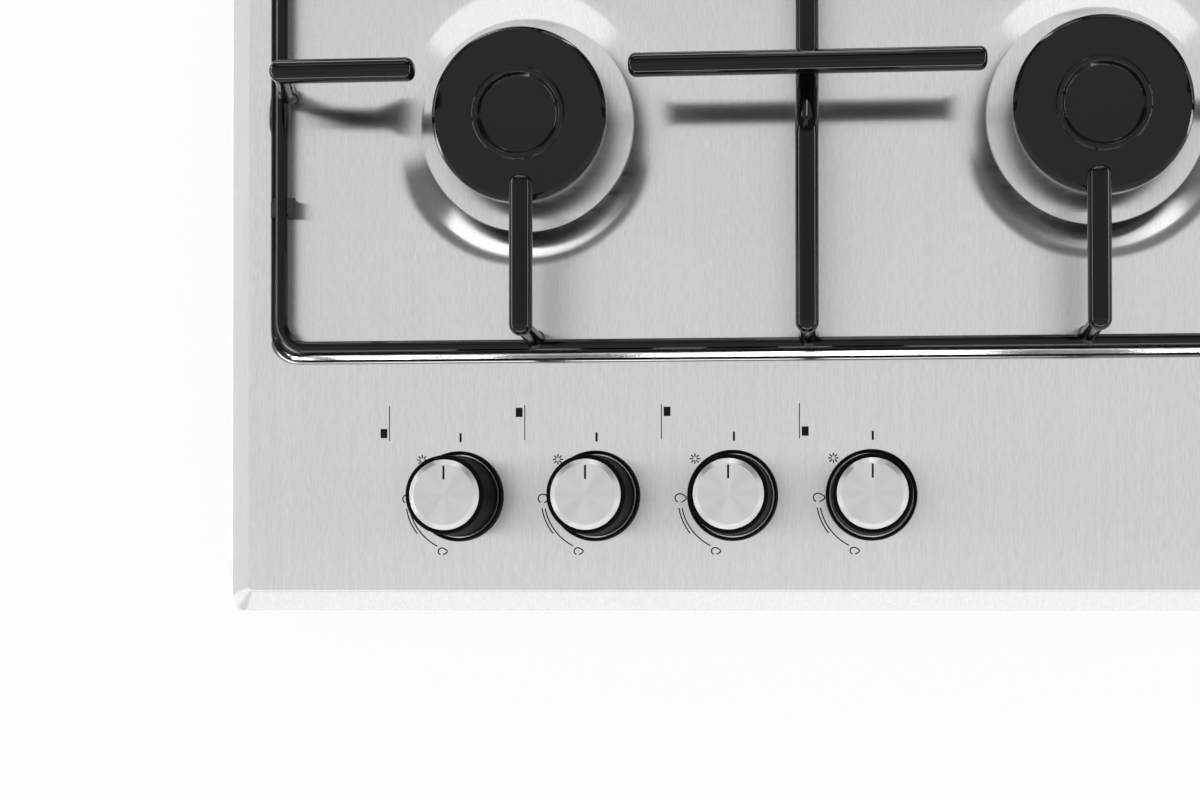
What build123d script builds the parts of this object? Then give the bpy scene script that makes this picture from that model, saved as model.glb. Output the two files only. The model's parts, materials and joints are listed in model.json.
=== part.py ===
from build123d import *

import os
from dataclasses import dataclass
from math import cos, hypot, radians, sin

# A built-in gas hob with four burners, front controls and a one-piece pan support.
# X runs to the right and Y to the back, seen by the cook. Z is up.
# The origin is the middle of the hob's outline, on the underside of the base tray.
# All sizes are millimetres.

# ---------------------------------------------------------------- driving dimensions
# Pressed top plate
HOB_WIDTH = 580.0
HOB_DEPTH = 510.0
SHEET = 1.0
RIM_RISE = 5.0
RIM_BEVEL = 10.7
RIM_CORNER = 9.0
CREASE_CORNER = 2.0
BLOCK_MARGIN = 2.0
PAST = 1.0

# Recess that catches spills, inside the plate
RECESS_MARGIN = 20.8
CONTROL_ZONE = 124.5
RECESS_DROP = 4.0
RECESS_WALL = 4.0
RECESS_CORNER = 15.0
RECESS_BEND = 1.5
WELL_DROP = 5.0
WELL_SHOULDER = 0.5
WELL_FOOT_BEND = 1.2
WELL_HOLE_GAP = 1.5

# Base tray under the worktop
TRAY_DEPTH = 46.0
TRAY_SIDE = 28.0
TRAY_FRONT = 15.0
TRAY_BACK = 41.0
TRAY_CORNER = 8.0
VENT_LENGTH = 46.0
VENT_WIDTH = 6.0
VENT_PITCH = 18.0
VENT_COUNT = 5
VENT_ROW = 20.0

# Seal under the rim
SEAL_INSET = 3.5
SEAL_WIDTH = 8.5

# Controls
KNOB_COUNT = 4
KNOB_FIRST = 116.9
KNOB_PITCH = 67.8
KNOB_ROW = 57.5
KNOB_BASE_RADIUS = 20.0
KNOB_TOP_RADIUS = 18.9
KNOB_TOP_HEIGHT = 26.6
KNOB_LIFT = 3.2
KNOB_EDGE = 0.8
KNOB_TRAVEL = 2.5
BEZEL_RADIUS = 22.4
BEZEL_HEIGHT = 3.4
BEZEL_GAP = 0.6
DISC_RADIUS = 17.6
DISC_FLAT_RADIUS = 14.0
DISC_THICK = 1.0
SPINDLE_RADIUS = 4.0
SPINDLE_FLAT = 3.0
SPINDLE_IN_KNOB = 18.0
SPINDLE_FLOAT = 1.5
PANEL_HOLE_RADIUS = 6.0
SLIDE_GAP = 0.05
SEAT_GAP = 0.3

# Gas taps
TAP_SIDE = 24.0
TAP_CORNER = 4.0
TAP_BOTTOM = 8.0
TAP_TOP = 36.0
TAP_COVER = 3.0
TAP_NECK_RADIUS = 6.5
TAP_NECK_TOP = 45.0
PLUG_RADIUS = 8.0
PLUG_FLOOR = 12.0
SOCKET_FLOOR = 20.0
SWITCH_SIZE = (9.0, 16.0, 12.0)

# Gas line
GAS_HEIGHT = 17.0
MANIFOLD_RADIUS = 8.0
MANIFOLD_WALL = 2.0
MANIFOLD_ROW = 34.0
MANIFOLD_LEFT = 85.0
MANIFOLD_RIGHT = 50.0
MANIFOLD_BEND = 28.0
INLET_RADIUS = 10.48
INLET_LENGTH = 15.0
INLET_NECK_RADIUS = 9.6
INLET_NECK_LENGTH = 3.0
INLET_NUT_RADIUS = 15.0
INLET_NUT_LENGTH = 8.0
LOCKNUT_THICK = 2.0
BOSS_RADIUS = 6.5
OUTLET_REACH = 22.0
PIPE_RADIUS = 4.0
PIPE_BEND = 18.0
PIPE_STRAIGHT = 22.0
PIPE_SLOPE = 66.0
PIPE_LONG_SLOPE = 110.0
PIPE_LANE = 14.0

# Burners: where the columns and rows lie, and where the fingers over each one aim
BURNER_SIDE = 149.0
FRONT_ROW = 0.3263
REAR_ROW = 0.7787
AIM_IN = 6.5
FRONT_AIM_BACK = 14.8
REAR_AIM_FRONT = 8.0

# Large burners
LARGE_CAP = 43.0
LARGE_PORTED = 36.0
LARGE_SPIGOT = 22.0
LARGE_WELL_FLOOR = 53.0
LARGE_WELL = 76.0
LARGE_DISH = 22.6
LARGE_GAP = 51.0
LARGE_PORTS = 24

# Medium burner
MEDIUM_CAP = 35.0
MEDIUM_PORTED = 28.5
MEDIUM_SPIGOT = 16.0
MEDIUM_WELL_FLOOR = 44.0
MEDIUM_WELL = 64.0
MEDIUM_DISH = 17.6
MEDIUM_GAP = 46.0
MEDIUM_PORTS = 20

# Small burner
SMALL_CAP = 26.5
SMALL_PORTED = 21.0
SMALL_SPIGOT = 10.0
SMALL_WELL_FLOOR = 35.0
SMALL_WELL = 54.0
SMALL_DISH = 12.6
SMALL_GAP = 38.0
SMALL_PORTS = 14

# Burner cups
CUP_FLANGE_THICK = 2.0
CUP_WALL = 5.0
CUP_BOTTOM = 8.0
CUP_NECK_RADIUS = 13.0
CUP_FLOAT = 2.0
CUP_THROAT_RADIUS = 5.2
CUP_THROAT_FLOOR = 20.0
CUP_FEED_REACH = 22.0
INJECTOR_HEX_RADIUS = 4.4
INJECTOR_HEX_HEIGHT = 4.0
INJECTOR_TIP_RADIUS = 2.6
INJECTOR_TIP_HEIGHT = 3.5
INJECTOR_HOLE = 0.5

# Flame spreaders and caps
SPREADER_BASE_THICK = 2.5
SPREADER_BASE_STEP = 1.5
SPREADER_HEIGHT = 14.5
SPREADER_WALL = 7.0
SPREADER_FLOOR = 4.5
SPIGOT_LENGTH = 8.0
SPIGOT_WALL = 4.0
PORT_DEPTH = 4.0
PORT_WIDTH = 2.4
CAP_THICK = 6.5
CAP_EDGE = 2.0
CAP_EDGE_DROP = 1.5
CAP_RING_DEPTH = 4.0
BEAD_HEIGHT = 0.7
BEAD_WIDTH = 1.2
DISH_DEPTH = 1.6
DISH_SLOPE = 2.2

# Igniters
ELECTRODE_RADIUS = 3.0
ELECTRODE_COLLAR = 4.4
ELECTRODE_COLLAR_LENGTH = 3.0
ELECTRODE_BOTTOM = 28.0
ELECTRODE_RISE = 10.5
ELECTRODE_BEARING = 85.0
ELECTRODE_GAP = 1.4
TIP_RADIUS = 0.9
TIP_LENGTH = 3.0
LEAD_RADIUS = 1.5
LEAD_RISE = 2.0
LEAD_BEND = 14.0
UNIT_SIZE = (70.0, 40.0, 36.0)
UNIT_BEHIND = 20.0
UNIT_EDGE = 2.0
LEAD_SPACING = 12.0
GLAND_RADIUS = 8.0
GLAND_BORE = 3.5
GLAND_INSIDE = 8.0
GLAND_FLANGE = 11.0
GLAND_FLANGE_THICK = 4.0
GLAND_NECK = 7.0
GLAND_NECK_LENGTH = 8.0
GLAND_OFFSET = 120.0

# Pan support
ROD_RADIUS = 3.0
ROD_INSET = 7.2
ROD_CORNER = 13.0
PAD_REST = 2.5
PAD_OUTER = 3.9
PAD_INNER = 7.2
PAD_TAPER = 2.2
PAD_EASE = 1.6
PAD_ALONG = 8.0
PAD_RISE = 1.0
PAD_AHEAD = 41.5
PAD_BEHIND = 1.5
BAR_RADIUS = 5.5
BAR_HEIGHT = 34.0
BAR_TIP_EDGE = 2.0
SIDE_END_INSET = 7.0
LEG_RADIUS = 4.0
LEG_SPLAY = 2.5
WELD_RADIUS = 5.2
WELD_LENGTH = 6.0
SPINE_DIP = 10.6
SPINE_DIP_RUN = 20.0
SPINE_BEND = 9.0
CROSSING_GAP = 13.0

# Worktop clamps
CLAMP_WIDTH = 22.0
CLAMP_THICK = 2.0
CLAMP_LOW = 5.0
CLAMP_HIGH = 34.0
CLAMP_REACH = 26.0
CLAMP_ROWS = (110.0, 400.0)
CLAMP_SCREW_HEIGHT = 26.0
CLAMP_SCREW_RADIUS = 2.0
CLAMP_SCREW_HEAD = 4.0
CLAMP_SCREW_HEAD_THICK = 2.4
CLAMP_SCREW_LENGTH = 5.0


@dataclass(frozen=True)
class BurnerSize:
    """The radii of one size of burner and of its well, its finger tips' distance and its ports."""

    cap_radius: float
    port_radius: float
    spigot_radius: float
    floor_radius: float
    well_radius: float
    dish_radius: float
    finger_gap: float
    ports: int


@dataclass(frozen=True)
class Burner:
    """One burner: its side (-1 left, 1 right), its row along the recess and its size."""

    name: str
    side: int
    row: float
    aim_back: float
    size: BurnerSize


LARGE = BurnerSize(
    LARGE_CAP, LARGE_PORTED, LARGE_SPIGOT, LARGE_WELL_FLOOR, LARGE_WELL, LARGE_DISH, LARGE_GAP, LARGE_PORTS
)
MEDIUM = BurnerSize(
    MEDIUM_CAP,
    MEDIUM_PORTED,
    MEDIUM_SPIGOT,
    MEDIUM_WELL_FLOOR,
    MEDIUM_WELL,
    MEDIUM_DISH,
    MEDIUM_GAP,
    MEDIUM_PORTS,
)
SMALL = BurnerSize(
    SMALL_CAP, SMALL_PORTED, SMALL_SPIGOT, SMALL_WELL_FLOOR, SMALL_WELL, SMALL_DISH, SMALL_GAP, SMALL_PORTS
)

BURNERS = (
    Burner("front_left", -1, FRONT_ROW, FRONT_AIM_BACK, LARGE),
    Burner("rear_left", -1, REAR_ROW, -REAR_AIM_FRONT, MEDIUM),
    Burner("rear_right", 1, REAR_ROW, -REAR_AIM_FRONT, SMALL),
    Burner("front_right", 1, FRONT_ROW, FRONT_AIM_BACK, LARGE),
)

# ---------------------------------------------------------------- heights and places
PANEL_TOP = TRAY_DEPTH + RIM_RISE
RECESS_TOP = PANEL_TOP - RECESS_DROP
WELL_TOP = RECESS_TOP - WELL_DROP
WELL_UNDER = WELL_TOP - SHEET
BLOCK_INSET = RIM_BEVEL + BLOCK_MARGIN
DEEP = -5.0

RECESS_WIDTH = HOB_WIDTH - 2 * RECESS_MARGIN
RECESS_DEPTH = HOB_DEPTH - CONTROL_ZONE - RECESS_MARGIN
RECESS_Y = CONTROL_ZONE + RECESS_DEPTH / 2 - HOB_DEPTH / 2

TRAY_WIDTH = HOB_WIDTH - 2 * TRAY_SIDE
TRAY_LENGTH = HOB_DEPTH - TRAY_FRONT - TRAY_BACK
TRAY_Y = TRAY_FRONT + TRAY_LENGTH / 2 - HOB_DEPTH / 2
TRAY_REAR_WALL = TRAY_Y + TRAY_LENGTH / 2

KNOB_Y = KNOB_ROW - HOB_DEPTH / 2
KNOB_XS = tuple(KNOB_FIRST + i * KNOB_PITCH - HOB_WIDTH / 2 for i in range(KNOB_COUNT))
KNOB_BOTTOM = PANEL_TOP + KNOB_LIFT
KNOB_TOP = PANEL_TOP + KNOB_TOP_HEIGHT
SPINDLE_TOP = KNOB_BOTTOM + SPINDLE_IN_KNOB
SPINDLE_BOTTOM = SOCKET_FLOOR + KNOB_TRAVEL + SPINDLE_FLOAT

MANIFOLD_Y = MANIFOLD_ROW - HOB_DEPTH / 2
MANIFOLD_X = (MANIFOLD_LEFT - HOB_WIDTH / 2, HOB_WIDTH / 2 - MANIFOLD_RIGHT)

SPREADER_TOP = WELL_TOP + SPREADER_HEIGHT
CAP_TOP = SPREADER_TOP + CAP_THICK
CUP_FLANGE_TOP = WELL_UNDER
CUP_BORE_FLOOR = WELL_TOP - SPIGOT_LENGTH - CUP_FLOAT

ROD_Z = RECESS_TOP + PAD_REST + ROD_RADIUS
BAR_Z = PANEL_TOP + BAR_HEIGHT
DIP_Z = BAR_Z - SPINE_DIP
FRAME_WIDTH = RECESS_WIDTH - 2 * ROD_INSET
FRAME_DEPTH = RECESS_DEPTH - 2 * ROD_INSET
ROD_X = FRAME_WIDTH / 2
ROD_FRONT = RECESS_Y - FRAME_DEPTH / 2
ROD_BACK = RECESS_Y + FRAME_DEPTH / 2


def place(burner):
    """The burner's axis: its column in from the side, and its row."""
    return burner.side * (HOB_WIDTH / 2 - BURNER_SIDE), row_place(burner.row)


def row_place(row):
    """The Y of a row of burners, which is given as a share of the recess's depth."""
    return RECESS_Y + (row - 0.5) * RECESS_DEPTH


def cross(burner):
    """The point that the burner's fingers aim at, a little inward of its axis."""
    x, y = place(burner)
    return x - burner.side * AIM_IN, y + burner.aim_back


def base_radius(burner):
    """The spreader's lowest flange, one step wider than its ported wall."""
    return burner.size.port_radius + SPREADER_BASE_STEP


def electrode_place(burner):
    """The electrode stands just outside the spreader's flange, at the back of the burner."""
    x, y = place(burner)
    reach = base_radius(burner) + ELECTRODE_GAP + ELECTRODE_RADIUS
    bearing = radians(ELECTRODE_BEARING)
    return x + reach * cos(bearing), y + reach * sin(bearing)


def disc(radius, low, high, x=0.0, y=0.0):
    """An upright cylinder from one height to another."""
    return Pos(x, y, low) * extrude(Circle(radius), high - low)


def cone(low_radius, high_radius, low, high, x=0.0, y=0.0):
    """An upright cone's frustum from one height to another."""
    middle = (low + high) / 2
    return Pos(x, y, middle) * Cone(low_radius, high_radius, high - low)


def slab(width, depth, corner, low, high, x=0.0, y=0.0):
    """An upright block with round corners, from one height to another."""
    return Pos(x, y, low) * extrude(RectangleRounded(width, depth, corner), high - low)


def rod_between(start, end, radius):
    """A round bar from one point to another."""
    axis = Vector(*end) - Vector(*start)
    return extrude(Plane(origin=start, z_dir=axis) * Circle(radius), axis.length)


def turned(*points):
    """A solid of revolution about Z, from its outline as (radius, height) points."""
    return revolve(Plane.XZ * make_face(Polyline(*points, close=True)), Axis.Z)


def tube(points, radius, bends):
    """A round rod swept along straight runs joined by tangent arcs."""
    path = FilletPolyline(*points, radius=bends)
    start = Plane(origin=path @ 0, z_dir=path % 0)
    return sweep(start * Circle(radius), path=path)


def d_shaft(radius, flat, low, high):
    """A shaft with one flat, the flat facing the back."""
    shaft = disc(radius, low, high)
    return shaft - Pos(0, flat + radius, (low + high) / 2) * Box(2 * radius, 2 * radius, high - low)


# ---------------------------------------------------------------- top plate
def well_cut(burner):
    """The room that one burner's well takes out of the recess: a cone from an easy shoulder to a tight foot."""
    size = burner.size
    shoulder = (size.well_radius - size.floor_radius) * WELL_SHOULDER / 2
    corner = Vector(size.well_radius - shoulder, RECESS_TOP)
    foot = Vector(size.floor_radius, WELL_TOP)
    slope = (corner - foot).normalized()
    shoulder_end = corner - slope * shoulder
    foot_end = foot + slope * WELL_FOOT_BEND
    upper = TangentArc(Vector(size.well_radius, RECESS_TOP), shoulder_end, tangent=(-1, 0))
    flank = Line(shoulder_end, foot_end)
    lower = TangentArc(foot - Vector(WELL_FOOT_BEND, 0), foot_end, tangent=(1, 0))
    above = RECESS_TOP + SHEET
    rim = size.well_radius
    floor = size.floor_radius - WELL_FOOT_BEND
    rest = Polyline((floor, WELL_TOP), (0, WELL_TOP), (0, above), (rim, above), (rim, RECESS_TOP))
    outline = make_face(Curve() + [upper, flank, lower, rest])
    x, y = place(burner)
    return Pos(x, y) * revolve(Plane.XZ * outline, Axis.Z)


def pressed_form():
    """Everything that lies under the plate's upper surface."""
    rim = loft(
        [
            Pos(0, 0, TRAY_DEPTH) * RectangleRounded(HOB_WIDTH, HOB_DEPTH, RIM_CORNER),
            Pos(0, 0, PANEL_TOP)
            * RectangleRounded(HOB_WIDTH - 2 * RIM_BEVEL, HOB_DEPTH - 2 * RIM_BEVEL, CREASE_CORNER),
        ],
        ruled=True,
    )
    block_width = HOB_WIDTH - 2 * BLOCK_INSET
    block_depth = HOB_DEPTH - 2 * BLOCK_INSET
    block = slab(block_width, block_depth, CREASE_CORNER, DEEP, TRAY_DEPTH + RIM_RISE / 2)
    recess = loft(
        [
            Pos(0, RECESS_Y, RECESS_TOP)
            * RectangleRounded(
                RECESS_WIDTH - 2 * RECESS_WALL, RECESS_DEPTH - 2 * RECESS_WALL, RECESS_CORNER - RECESS_WALL
            ),
            Pos(0, RECESS_Y, PANEL_TOP) * RectangleRounded(RECESS_WIDTH, RECESS_DEPTH, RECESS_CORNER),
        ],
        ruled=True,
    )
    form = rim + block - recess
    lip = form.edges().filter_by(lambda e: on_recess_ring(e, PANEL_TOP, RECESS_WIDTH))
    form = fillet(lip, RECESS_BEND)
    foot = form.edges().filter_by(lambda e: on_recess_ring(e, RECESS_TOP, RECESS_WIDTH - 2 * RECESS_WALL))
    form = fillet(foot, RECESS_BEND)
    for burner in BURNERS:
        form -= well_cut(burner)
    return form


def on_recess_ring(edge, height, width):
    """True for the edges that go round the recess at one height."""
    box = edge.bounding_box()
    level = abs(box.min.Z - height) < 0.01 and abs(box.max.Z - height) < 0.01
    inside = max(abs(box.min.X), abs(box.max.X)) < width / 2 + 0.01
    return level and inside


def below_plate(form):
    """Everything that lies under the plate's lower surface."""
    return Pos(0, 0, -SHEET) * form


def top_plate(form):
    """The pressed plate: one sheet thickness of the form, with its holes."""
    plate = form - below_plate(form)
    for burner in BURNERS:
        x, y = place(burner)
        plate -= disc(burner.size.spigot_radius + WELL_HOLE_GAP, WELL_UNDER - PAST, WELL_TOP + PAST, x, y)
        ex, ey = electrode_place(burner)
        plate -= disc(ELECTRODE_RADIUS + SEAT_GAP, WELL_UNDER - PAST, WELL_TOP + PAST, ex, ey)
    for x in KNOB_XS:
        plate -= disc(PANEL_HOLE_RADIUS, PANEL_TOP - 2 * SHEET, PANEL_TOP + PAST, x, KNOB_Y)
    return plate


def sealing_strip(form):
    """The foam seal that fills the rim's hollow side, flush with its edge."""
    inner = SEAL_INSET + SEAL_WIDTH
    ring = slab(HOB_WIDTH - 2 * SEAL_INSET, HOB_DEPTH - 2 * SEAL_INSET, RIM_CORNER, TRAY_DEPTH, PANEL_TOP)
    ring -= slab(HOB_WIDTH - 2 * inner, HOB_DEPTH - 2 * inner, CREASE_CORNER, TRAY_DEPTH - PAST, PANEL_TOP + PAST)
    return ring & below_plate(form)


# ---------------------------------------------------------------- base tray
def base_tray(form):
    """The open-topped tray under the plate, its walls rising to the plate's underside."""
    tray = slab(TRAY_WIDTH, TRAY_LENGTH, TRAY_CORNER, 0, PANEL_TOP, 0, TRAY_Y)
    inner_width = TRAY_WIDTH - 2 * SHEET
    inner_length = TRAY_LENGTH - 2 * SHEET
    tray -= slab(inner_width, inner_length, TRAY_CORNER - SHEET, SHEET, PANEL_TOP + PAST, 0, TRAY_Y)
    tray = tray & below_plate(form)
    slot = extrude(SlotOverall(VENT_LENGTH, VENT_WIDTH), 4 * SHEET, both=True)
    middle = (VENT_COUNT - 1) / 2
    for side in (-1, 1):
        for i in range(VENT_COUNT):
            column = side * (HOB_WIDTH / 2 - BURNER_SIDE)
            tray -= Pos(column, VENT_ROW + (i - middle) * VENT_PITCH, SHEET / 2) * slot
    for x, radius in ((MANIFOLD_X[1], INLET_RADIUS), (GLAND_OFFSET, GLAND_RADIUS)):
        tray -= Plane(origin=(x, TRAY_REAR_WALL - 2 * SHEET, GAS_HEIGHT), z_dir=(0, 1, 0)) * extrude(
            Circle(radius + SLIDE_GAP), 4 * SHEET
        )
    for side, y in clamp_places():
        tray -= clamp_screw_hole(side, y)
    return tray


def clamp_places():
    """The side and the Y of each worktop clamp."""
    return [(side, row - HOB_DEPTH / 2) for side in (-1, 1) for row in CLAMP_ROWS]


def clamp_screw_hole(side, y):
    """The hole that a clamp's screw passes through."""
    start = (side * (TRAY_WIDTH / 2 - 3 * SHEET), y, CLAMP_SCREW_HEIGHT)
    end = (side * (TRAY_WIDTH / 2 + 3 * SHEET), y, CLAMP_SCREW_HEIGHT)
    return rod_between(start, end, CLAMP_SCREW_RADIUS)


def worktop_clamps():
    """Bent steel brackets on the tray's side walls, whose toes pull against the worktop."""
    clamps = []
    for side, y in clamp_places():
        wall = side * TRAY_WIDTH / 2
        outline = Polyline(
            (0, CLAMP_HIGH),
            (0, CLAMP_LOW),
            (CLAMP_REACH, CLAMP_LOW),
            (CLAMP_REACH, CLAMP_LOW + 2 * CLAMP_THICK),
            (CLAMP_REACH - CLAMP_THICK, CLAMP_LOW + 2 * CLAMP_THICK),
            (CLAMP_REACH - CLAMP_THICK, CLAMP_LOW + CLAMP_THICK),
            (CLAMP_THICK, CLAMP_LOW + CLAMP_THICK),
            (CLAMP_THICK, CLAMP_HIGH),
            close=True,
        )
        bracket = extrude(Plane.XZ * make_face(outline), CLAMP_WIDTH / 2, both=True)
        if side < 0:
            bracket = mirror(bracket, Plane.YZ)
        clamps.append(Pos(wall, y) * bracket - clamp_screw_hole(side, y))
    return Compound(children=clamps)


def clamp_screws():
    """Pan-head screws that hold the clamps to the tray."""
    screws = []
    for side, y in clamp_places():
        head = side * (TRAY_WIDTH / 2 + CLAMP_THICK)
        under = (head, y, CLAMP_SCREW_HEIGHT)
        outer = (head + side * CLAMP_SCREW_HEAD_THICK, y, CLAMP_SCREW_HEIGHT)
        inner = (head - side * CLAMP_SCREW_LENGTH, y, CLAMP_SCREW_HEIGHT)
        shank = rod_between(under, inner, CLAMP_SCREW_RADIUS)
        screws.append(rod_between(under, outer, CLAMP_SCREW_HEAD) + shank)
    return Compound(children=screws)


# ---------------------------------------------------------------- gas line
def manifold():
    """The rail that feeds the taps, and its run to the back of the tray."""
    left, right = MANIFOLD_X
    end = TRAY_REAR_WALL - SHEET - INLET_NUT_LENGTH
    points = ((left, MANIFOLD_Y, GAS_HEIGHT), (right, MANIFOLD_Y, GAS_HEIGHT), (right, end, GAS_HEIGHT))
    return tube(points, MANIFOLD_RADIUS, MANIFOLD_BEND)


def gas_inlet():
    """The union at the back: a hexagon inside the wall, a threaded stub outside it and a locknut."""
    plane = Plane(origin=(MANIFOLD_X[1], TRAY_REAR_WALL, GAS_HEIGHT), z_dir=(0, 1, 0))
    inside = plane.offset(-SHEET)
    body = extrude(inside * RegularPolygon(INLET_NUT_RADIUS, 6), -INLET_NUT_LENGTH)
    stub = extrude(inside * Circle(INLET_NECK_RADIUS), SHEET + INLET_NECK_LENGTH)
    stub += extrude(plane.offset(INLET_NECK_LENGTH) * Circle(INLET_RADIUS), INLET_LENGTH)
    bore = extrude(inside * Circle(MANIFOLD_RADIUS - MANIFOLD_WALL), 2 * INLET_LENGTH)
    locknut = extrude(plane * RegularPolygon(INLET_NUT_RADIUS, 6), LOCKNUT_THICK)
    locknut -= extrude(plane * Circle(INLET_RADIUS + SLIDE_GAP), LOCKNUT_THICK)
    return Compound(children=[body + (stub - bore), locknut])


def tap_body(x, rail):
    """A tap's cast body with the plug's seat, its inlet on the rail and its outlet boss."""
    body = slab(TAP_SIDE, TAP_SIDE, TAP_CORNER, TAP_BOTTOM, TAP_TOP, x, KNOB_Y)
    centre = (x, KNOB_Y, GAS_HEIGHT)
    body += rod_between(centre, (x, MANIFOLD_Y + MANIFOLD_RADIUS / 2, GAS_HEIGHT), BOSS_RADIUS)
    body += rod_between(centre, (x, KNOB_Y + OUTLET_REACH, GAS_HEIGHT), BOSS_RADIUS)
    body -= rail
    return body - disc(PLUG_RADIUS + SLIDE_GAP, PLUG_FLOOR, TAP_TOP, x, KNOB_Y)


def tap_covers():
    """The plates that close the taps, each with the neck that guides its spindle."""
    covers = []
    for x in KNOB_XS:
        cover = slab(TAP_SIDE, TAP_SIDE, TAP_CORNER, TAP_TOP, TAP_TOP + TAP_COVER, x, KNOB_Y)
        cover += disc(TAP_NECK_RADIUS, TAP_TOP, TAP_NECK_TOP, x, KNOB_Y)
        covers.append(cover - disc(SPINDLE_RADIUS + SEAT_GAP, TAP_TOP - PAST, TAP_NECK_TOP + PAST, x, KNOB_Y))
    return Compound(children=covers)


def tap_plug(x):
    """The plug that turns in the tap and meters the gas, with a socket for the spindle."""
    plug = disc(PLUG_RADIUS, PLUG_FLOOR + SLIDE_GAP, TAP_TOP - SLIDE_GAP)
    plug -= d_shaft(SPINDLE_RADIUS + SLIDE_GAP, SPINDLE_FLAT + SLIDE_GAP, SOCKET_FLOOR, TAP_TOP)
    return Pos(x, KNOB_Y) * plug


def ignition_switches():
    """The microswitch beside each tap, closed when its spindle is pressed."""
    width, depth, height = SWITCH_SIZE
    reach = (TAP_SIDE + width) / 2
    return Compound(
        children=[Pos(x + reach, KNOB_Y, TAP_TOP - height / 2) * Box(width, depth, height) for x in KNOB_XS]
    )


def pipe_routes():
    """The points of each burner's supply pipe, from its tap to the foot of its cup."""
    outlet = KNOB_Y + OUTLET_REACH
    ends = {}
    for burner in BURNERS:
        x, y = place(burner)
        ends[burner.name] = (x, y - CUP_FEED_REACH)
    first, second, third, fourth = KNOB_XS
    lane = second + PIPE_LANE
    near_left, far_left = ends["front_left"], ends["rear_left"]
    far_right, near_right = ends["rear_right"], ends["front_right"]
    return {
        "front_left": [
            (first, outlet),
            (first, outlet + PIPE_STRAIGHT),
            (near_left[0], near_left[1] - PIPE_SLOPE),
            near_left,
        ],
        "rear_left": [
            (second, outlet),
            (second, outlet + PIPE_STRAIGHT),
            (lane, outlet + PIPE_SLOPE),
            (lane, far_left[1] - PIPE_SLOPE),
            (far_left[0], far_left[1] - PIPE_STRAIGHT),
            far_left,
        ],
        "rear_right": [
            (third, outlet),
            (third, far_right[1] - PIPE_LONG_SLOPE),
            (far_right[0], far_right[1] - PIPE_STRAIGHT),
            far_right,
        ],
        "front_right": [
            (fourth, outlet),
            (fourth, outlet + PIPE_STRAIGHT),
            (near_right[0], near_right[1] - PIPE_STRAIGHT),
            near_right,
        ],
    }


def supply_pipe(points):
    """A drawn aluminium pipe, bent in one level."""
    return tube([(x, y, GAS_HEIGHT) for x, y in points], PIPE_RADIUS, PIPE_BEND)


# ---------------------------------------------------------------- burners
def burner_cup(burner):
    """The cast cup under the well: a flange, a bowl for the spigot and a foot with the gas feed."""
    bore = burner.size.spigot_radius + SEAT_GAP
    bowl = bore + CUP_WALL
    flange = base_radius(burner) + ELECTRODE_GAP + 2 * ELECTRODE_RADIUS + CUP_WALL
    shell = turned(
        (0, CUP_BOTTOM),
        (CUP_NECK_RADIUS, CUP_BOTTOM),
        (CUP_NECK_RADIUS, CUP_BORE_FLOOR - CUP_WALL),
        (bowl, CUP_BORE_FLOOR - CUP_WALL),
        (bowl, CUP_FLANGE_TOP - CUP_FLANGE_THICK),
        (flange, CUP_FLANGE_TOP - CUP_FLANGE_THICK),
        (flange, CUP_FLANGE_TOP),
        (bore, CUP_FLANGE_TOP),
        (bore, CUP_BORE_FLOOR),
        (CUP_THROAT_RADIUS, CUP_BORE_FLOOR),
        (CUP_THROAT_RADIUS, CUP_THROAT_FLOOR),
        (0, CUP_THROAT_FLOOR),
    )
    feed = rod_between((0, -CUP_NECK_RADIUS / 2, GAS_HEIGHT), (0, -CUP_FEED_REACH, GAS_HEIGHT), BOSS_RADIUS)
    feed -= disc(CUP_THROAT_RADIUS, CUP_THROAT_FLOOR, CUP_BORE_FLOOR)
    x, y = place(burner)
    ex, ey = electrode_place(burner)
    below = CUP_FLANGE_TOP - 2 * CUP_FLANGE_THICK
    hole = disc(ELECTRODE_RADIUS + SLIDE_GAP, below, CUP_FLANGE_TOP + PAST, ex, ey)
    return Pos(x, y) * (shell + feed) - hole


def injectors():
    """The brass jets that stand in the cups' feet."""
    jets = []
    floor = CUP_THROAT_FLOOR
    shoulder = floor + INJECTOR_HEX_HEIGHT
    top = shoulder + INJECTOR_TIP_HEIGHT
    for burner in BURNERS:
        jet = Pos(0, 0, floor) * extrude(RegularPolygon(INJECTOR_HEX_RADIUS, 6), INJECTOR_HEX_HEIGHT)
        jet += cone(INJECTOR_TIP_RADIUS, INJECTOR_TIP_RADIUS / 2, shoulder, top)
        jet -= disc(INJECTOR_HOLE, floor - PAST, top + PAST)
        x, y = place(burner)
        jets.append(Pos(x, y) * jet)
    return Compound(children=jets)


def flame_spreader(burner):
    """The cast crown that sits on the well's floor: spigot, mixing chamber and a ring of ports."""
    outer = burner.size.port_radius
    inner = outer - SPREADER_WALL
    spigot = burner.size.spigot_radius
    throat = spigot - SPIGOT_WALL
    chamber = WELL_TOP + SPREADER_FLOOR
    body = turned(
        (throat, WELL_TOP - SPIGOT_LENGTH),
        (spigot, WELL_TOP - SPIGOT_LENGTH),
        (spigot, WELL_TOP),
        (base_radius(burner), WELL_TOP),
        (base_radius(burner), WELL_TOP + SPREADER_BASE_THICK),
        (outer, WELL_TOP + SPREADER_BASE_THICK + SPREADER_BASE_STEP),
        (outer, SPREADER_TOP),
        (inner, SPREADER_TOP),
        (inner, chamber),
        (throat, chamber),
    )
    port = Pos(outer, 0, SPREADER_TOP) * Box(4 * SPREADER_WALL, PORT_WIDTH, 2 * PORT_DEPTH)
    ports = [Rot(0, 0, 360 * (i + 0.5) / burner.size.ports) * port for i in range(burner.size.ports)]
    x, y = place(burner)
    return Pos(x, y) * (body - ports)


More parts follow.
